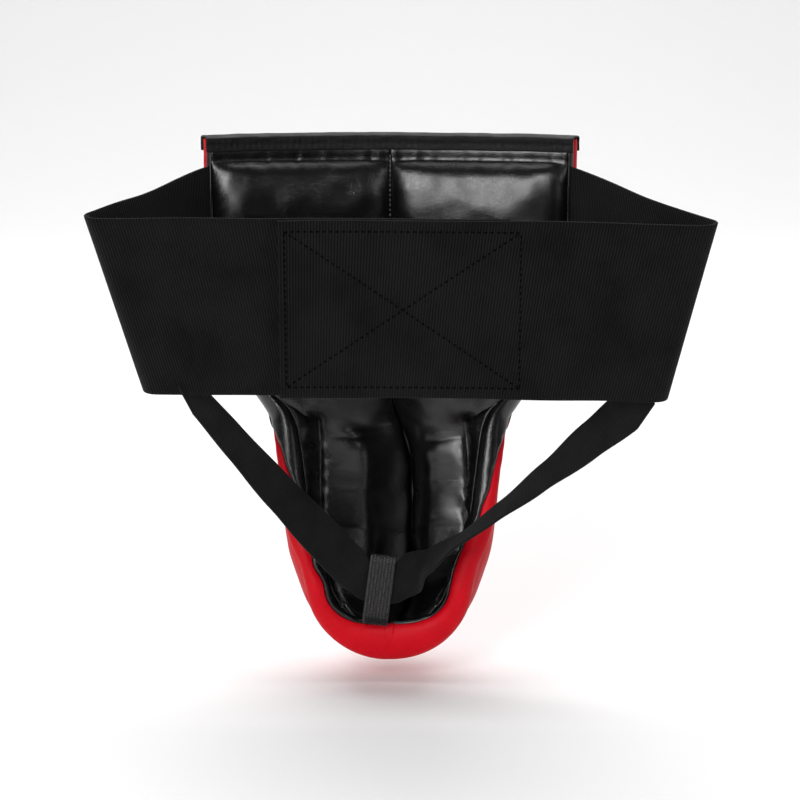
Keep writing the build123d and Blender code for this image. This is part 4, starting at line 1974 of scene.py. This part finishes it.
# ---------------------------------------------------------------- leg straps and tab
@dataclass
class LegGear:
    """Leg straps and the webbing tab that joins them."""

    wall: Wall
    palette: Palette
    belt: BeltSizes = field(default_factory=BeltSizes)
    width: float = 0.025
    thick: float = 0.0015
    clear: float = 0.0008
    inset_left: float = 0.033
    inset_right: float = 0.027
    behind: float = 0.015
    tab_width: float = 0.0155
    tab_thick: float = 0.0013
    tab_length: float = 0.056
    tab_sewn: float = 0.013
    tab_tucked: float = 0.0075
    tab_x: float = -0.0097
    tab_stand: float = 0.0003
    tab_foot_up: float = 0.0054
    tab_lean: tuple = (0.0067, -0.0168)
    tab_room: float = 0.0008
    up_tab: float = 0.598
    rise: float = 0.35
    entry_gap: float = 0.0015
    hidden: float = 0.020
    bead: float = 0.002
    bead_height: float = 0.00058
    bead_base: float = 0.0002
    sag: float = 0.0022
    in_loop: float = 0.008
    tack_rows: int = 5
    tack_pitch: float = 0.0009
    left_twist: tuple = ((0.0, 66), (0.21, 59), (0.47, 46), (0.76, 23), (1.0, 0))
    right_twist: tuple = ((0.0, 30), (0.15, 48), (0.35, 70), (0.54, 84), (0.71, 91), (0.84, 75), (1.0, 0))

    def __post_init__(self) -> None:
        """Works out the tab's frame."""
        last = self.wall.section(self.wall.length)
        way = last.way
        roll = self.wall.sizes.roll
        pushed = Vector((0.0, way[1] * roll, -way[0] * roll))
        middle = last.point(0.0, 0.0) + pushed
        self.foot = middle + Vector((self.tab_x, -self.tab_thick - self.tab_stand, self.tab_foot_up))
        lean = Vector((*self.tab_lean, 0.0))
        rise = sqrt(self.tab_length**2 - lean.length_squared)
        self.up = (lean + UP * rise).normalized()
        back = Vector((0.0, -1.0, 0.0))
        self.out = (back - self.up * back.dot(self.up)).normalized()
        wide = self.out.cross(self.up)
        self.wide = wide if wide.x > 0 else -wide

    def strap(self, side: Side) -> bpy.types.Object:
        """One leg strap, from behind the belt's edge to the tab.

        Args:
            side: which strap.

        Returns:
            The piece.
        """
        b = self.belt
        right = side is Side.RIGHT
        twist = self.right_twist if right else self.left_twist
        if right:
            x = b.reach_right - b.taper_right - self.inset_right
        else:
            x = -(b.reach_left - b.taper_left - self.inset_left)
        y = b.near_y + b.near_lean + self.behind
        drop = self.clear + self.width / 2 * cos(radians(twist[0][1]))
        top = Vector((x, y, b.edge_z(y, True) - drop))
        middle = self.foot + self.up * (self.tab_length * self.up_tab)
        slope = (self.wide * side.value + self.up * self.rise).normalized()
        outwards = self.wide * side.value + self.up * self.rise
        entry = middle + outwards * (self.tab_width / 2 + self.entry_gap)
        along_way = (entry - top).normalized()
        facing = Vector((-along_way.z, 0.0, along_way.x)).normalized() * (1 if along_way.x > 0 else -1)
        facing = (facing - along_way * facing.dot(along_way)).normalized()
        turned = along_way.cross(facing)
        turned = turned if turned.y > 0 else -turned
        flat_wide = (self.up - slope * self.up.dot(slope)).normalized()
        run = (entry - top).length
        length = run + self.hidden + self.in_loop
        up_behind = Vector((0.15 * side.value, 0.10, 1.0)).normalized()

        def spine(d: float) -> tuple[Vector, Vector]:
            """Middle of the strap and the way it is wide, at a distance from the belt's edge."""
            if d < 0:
                a = radians(twist[0][1])
                wide = facing * cos(a) + turned * sin(a)
                f = -d
                return top - along_way * f * 0.6 + up_behind * f * 0.4, wide
            share = min(1.0, d / run)
            a = radians(table(twist, share))
            wide = facing * cos(a) + turned * sin(a)
            p = top.lerp(entry, share) - UP * (self.sag * sin(pi * share))
            blend = smooth((share - 0.86) / 0.14)
            if wide.dot(flat_wide) < 0:
                wide = -wide
            wide = wide.lerp(flat_wide, blend).normalized()
            if d > run:
                p = entry - slope * (d - run)
            return p, wide

        def place(across: float, along: float) -> Vector:
            """Point of the strap."""
            p, wide = spine(-self.hidden + length * along)
            if wide.z < 0:
                wide = -wide
            offset = (across - 0.5) * self.width
            edge_wave = 0.0003 * ripple(length * along, side.value, across * 0.02, 0.03)
            return p + wide * (offset + edge_wave)

        bm = Mesh.grid(10, 90, place, (self.width, length), None, None)
        piece = Mesh.finish(f"leg_elastic_{side.word}", bm, self.palette.strap)
        Mesh.thicken(piece, self.thick, 0.0)
        bevel = piece.modifiers.new("soft edge", "BEVEL")
        bevel.width = 0.0004
        bevel.segments = 2
        bevel.limit_method = "ANGLE"
        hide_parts(f"leg_strap_{side.word}")
        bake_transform(piece)
        return piece

    def tab(self) -> bpy.types.Object:
        """Webbing loop at the foot of the cup, with its beaded weave in the mesh.

        Returns:
            The piece.
        """
        gap = self.thick + 2 * self.tab_room
        depth = gap + self.tab_thick
        half = depth / 2
        sewn = self.tab_sewn
        straight = self.tab_length - sewn - half
        close = 0.006
        # The webbing's middle line: up the wearer's face, over the fold, and down the far face.
        tucked = self.tab_tucked
        line = [(tucked, -self.tab_thick)]
        line += [(tucked + (sewn - tucked) * k / 4, self.tab_thick / 2) for k in range(1, 5)]
        for k in range(1, 9):
            out = self.tab_thick / 2 + (half - self.tab_thick / 2) * smooth(k / 8)
            line.append((sewn + close * k / 8, out))
        for k in range(1, 31):
            line.append((sewn + close + (straight - close) * k / 30, half))
        for k in range(1, 12):
            a = pi * k / 12
            line.append((sewn + straight + half * sin(a), half * cos(a)))
        line += [(u, -v) for u, v in reversed(line[: 5 + 8 + 30])]
        lengths = running_lengths(line)
        total = lengths[-1]
        rows = round(total / 0.00033)
        columns = round(self.tab_width / 0.00040)

        def point(along: float) -> tuple[float, float]:
            """Height and stand-off of the webbing's middle line."""
            want = along * total
            i = min(len(lengths) - 2, max(0, bisect_right(lengths, want) - 1))
            f = (want - lengths[i]) / max(1e-9, lengths[i + 1] - lengths[i])
            (up0, out0), (up1, out1) = line[i], line[i + 1]
            return up0 + (up1 - up0) * f, out0 + (out1 - out0) * f

        def place(across: float, along: float) -> Vector:
            """Point of the webbing."""
            up, out = point(along)
            return self.foot + self.up * up + self.out * out + self.wide * ((across - 0.5) * self.tab_width)

        def relief(across: float, along: float) -> float:
            """Beads of the weave, flatter at the selvedges."""
            x = across * self.tab_width / self.bead
            y = along * total / (0.85 * self.bead)
            column = int(x)
            bead = abs(sin(pi * x)) ** 0.4 * abs(sin(pi * (y + 0.5 * (column % 2)))) ** 1.2
            edge = 0.5 + 0.5 * smooth(min(across, 1 - across) * 12)
            return (self.bead_height * bead - self.bead_base) * edge

        bm = Mesh.grid(columns, rows, place, (self.tab_width, total), relief, None)
        bm.verts.ensure_lookup_table()
        if bm.verts[0].normal.dot(self.out) < 0:
            bmesh.ops.reverse_faces(bm, faces=bm.faces[:])
        piece = Mesh.finish("webbing_loop", bm, self.palette.webbing)
        Mesh.thicken(piece, self.tab_thick, 0.0)
        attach(piece, "guard")
        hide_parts("webbing_tab")
        return piece

    def tack(self) -> bpy.types.Object:
        """Rows of thread across the tab's sewn foot.

        Returns:
            The stitches.
        """
        stitches = Stitches("tab_bar_tack_thread", "guard", self.palette.thread, 0.0022, 0.0005)
        for k in range(self.tack_rows):
            up = self.tab_tucked + 0.0008 + self.tack_pitch * k
            centre = self.foot + self.up * up + self.out * (self.tab_thick + 0.0005)
            half = self.tab_width / 2 - 0.0015
            points = [centre + self.wide * (half * (2 * j / 30 - 1)) for j in range(31)]
            stitches.row(points, [self.out] * 31, 0.0019)
        made = stitches.build()
        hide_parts("tab_bar_tack")
        return made

    def build(self) -> None:
        """Builds the straps and the tab."""
        self.tab()
        for side in Side:
            self.strap(side)
        self.tack()
        LOG.info("leg straps and tab")


# ---------------------------------------------------------------- stage, light and camera
@dataclass(frozen=True)
class Paper(Finish):
    """Studio paper, graded darker towards the front as painted shade, so that black leather does not mirror a
    bright floor there.
    """

    light_from: float = -0.32
    dark_from: float = -0.75

    def height(self, tree: bpy.types.NodeTree) -> tuple:
        """Where the paper is light; towards the front it takes the painted shade. It has no relief.

        Args:
            tree: the material's node tree.

        Returns:
            A socket that rises over the light part, and no depth.
        """
        place = node(tree, "ShaderNodeTexCoord").outputs["Object"]
        split = node(tree, "ShaderNodeSeparateXYZ", None, {0: place})
        light = node(
            tree,
            "ShaderNodeMapRange",
            {"From Min": self.dark_from, "From Max": self.light_from, "To Min": 0.0, "To Max": 2.0},
            {"Value": split.outputs[1]},
        )
        return light.outputs["Result"], 0.0


@dataclass(frozen=True)
class Studio:
    """Pale floor, soft light and the camera."""

    target: tuple[float, float, float] = (0.0072, 0.0, -0.06825)
    distance: float = 1.5
    azimuth: float = 1.0
    elevation: float = 11.0
    lens: float = 113.45
    floor: float = -0.2525

    def backdrop(self) -> None:
        """Floor that curves up into a wall behind the object."""
        wide, near, far, bend = 6.0, -3.0, 2.2, 1.0

        def place(across: float, along: float) -> Vector:
            """Point of the sweep from floor to wall."""
            d = (far - near + bend * pi / 2 + 3.0) * along
            x = (across - 0.5) * wide * 2
            flat = far - near
            if d < flat:
                return Vector((x, near + d, self.floor))
            a = min(pi / 2, (d - flat) / bend)
            y = far + bend * sin(a)
            z = self.floor + bend * (1 - cos(a)) + max(0.0, d - flat - bend * pi / 2)
            return Vector((x, y, z))

        bm = Mesh.grid(8, 120, place, (12.0, 9.0), None, lambda across, along: UP)
        # Matt studio paper; its grey front is painted shade.
        paper = Paper("paper_with_painted_front_shade", "f6f6f6", "5c5c5c", 0.9, 0.03, 5.0, 0.1).make()
        made = Mesh.finish("backdrop", bm, paper)

    def light(self, name: str, place: Vector, size: tuple[float, float], watts: float) -> None:
        """Adds one softbox that faces the object.

        Args:
            name: the light's name.
            place: its position.
            size: width and height.
            watts: power.
        """
        data = bpy.data.lights.new(name, "AREA")
        data.shape = "RECTANGLE"
        data.size, data.size_y = size
        data.energy = watts
        made = bpy.data.objects.new(name, data)
        made.location = place
        aim = Vector(self.target) - place
        made.rotation_euler = aim.to_track_quat("-Z", "Y").to_euler()
        bpy.context.scene.collection.objects.link(made)

    def build(self) -> None:
        """Builds the stage, the lights and the camera."""
        self.backdrop()
        self.light("softbox_top", Vector((0.0, 1.2, 2.6)), (4.0, 3.0), 118.0)
        self.light("softbox_left", Vector((-0.50, -1.45, 0.45)), (0.42, 1.3), 21.0)
        self.light("softbox_right", Vector((1.0, -1.2, 0.5)), (0.25, 1.0), 2.5)
        world = bpy.data.worlds.new("studio")
        world.use_nodes = True
        tree = world.node_tree
        tree.nodes.clear()
        glow = node(tree, "ShaderNodeBackground", {"Color": (1.0, 1.0, 1.0, 1.0), "Strength": 0.12})
        node(tree, "ShaderNodeOutputWorld", None, {"Surface": glow.outputs[0]})
        bpy.context.scene.world = world
        bpy.context.scene.view_settings.view_transform = "Standard"
        data = bpy.data.cameras.new("camera")
        data.lens = self.lens
        data.sensor_width = 36.0
        data.clip_end = 50.0
        camera = bpy.data.objects.new("camera", data)
        az, el = radians(self.azimuth), radians(self.elevation)
        target = Vector(self.target)
        offset = Vector((sin(az) * cos(el), -cos(az) * cos(el), sin(el))) * self.distance
        camera.location = target + offset
        camera.rotation_euler = (-offset).to_track_quat("-Z", "Y").to_euler()
        bpy.context.scene.collection.objects.link(camera)
        bpy.context.scene.camera = camera


def main() -> None:
    """Builds everything in order."""
    logging.basicConfig(level=logging.INFO, format="%(message)s")
    palette = Palette()
    wall = Wall(WallSizes())
    Guard(wall, palette).build()
    Belt(palette).build()
    LegGear(wall, palette).build()
    Studio().build()
    LOG.info("studio")


if __name__ == "__main__":
    main()
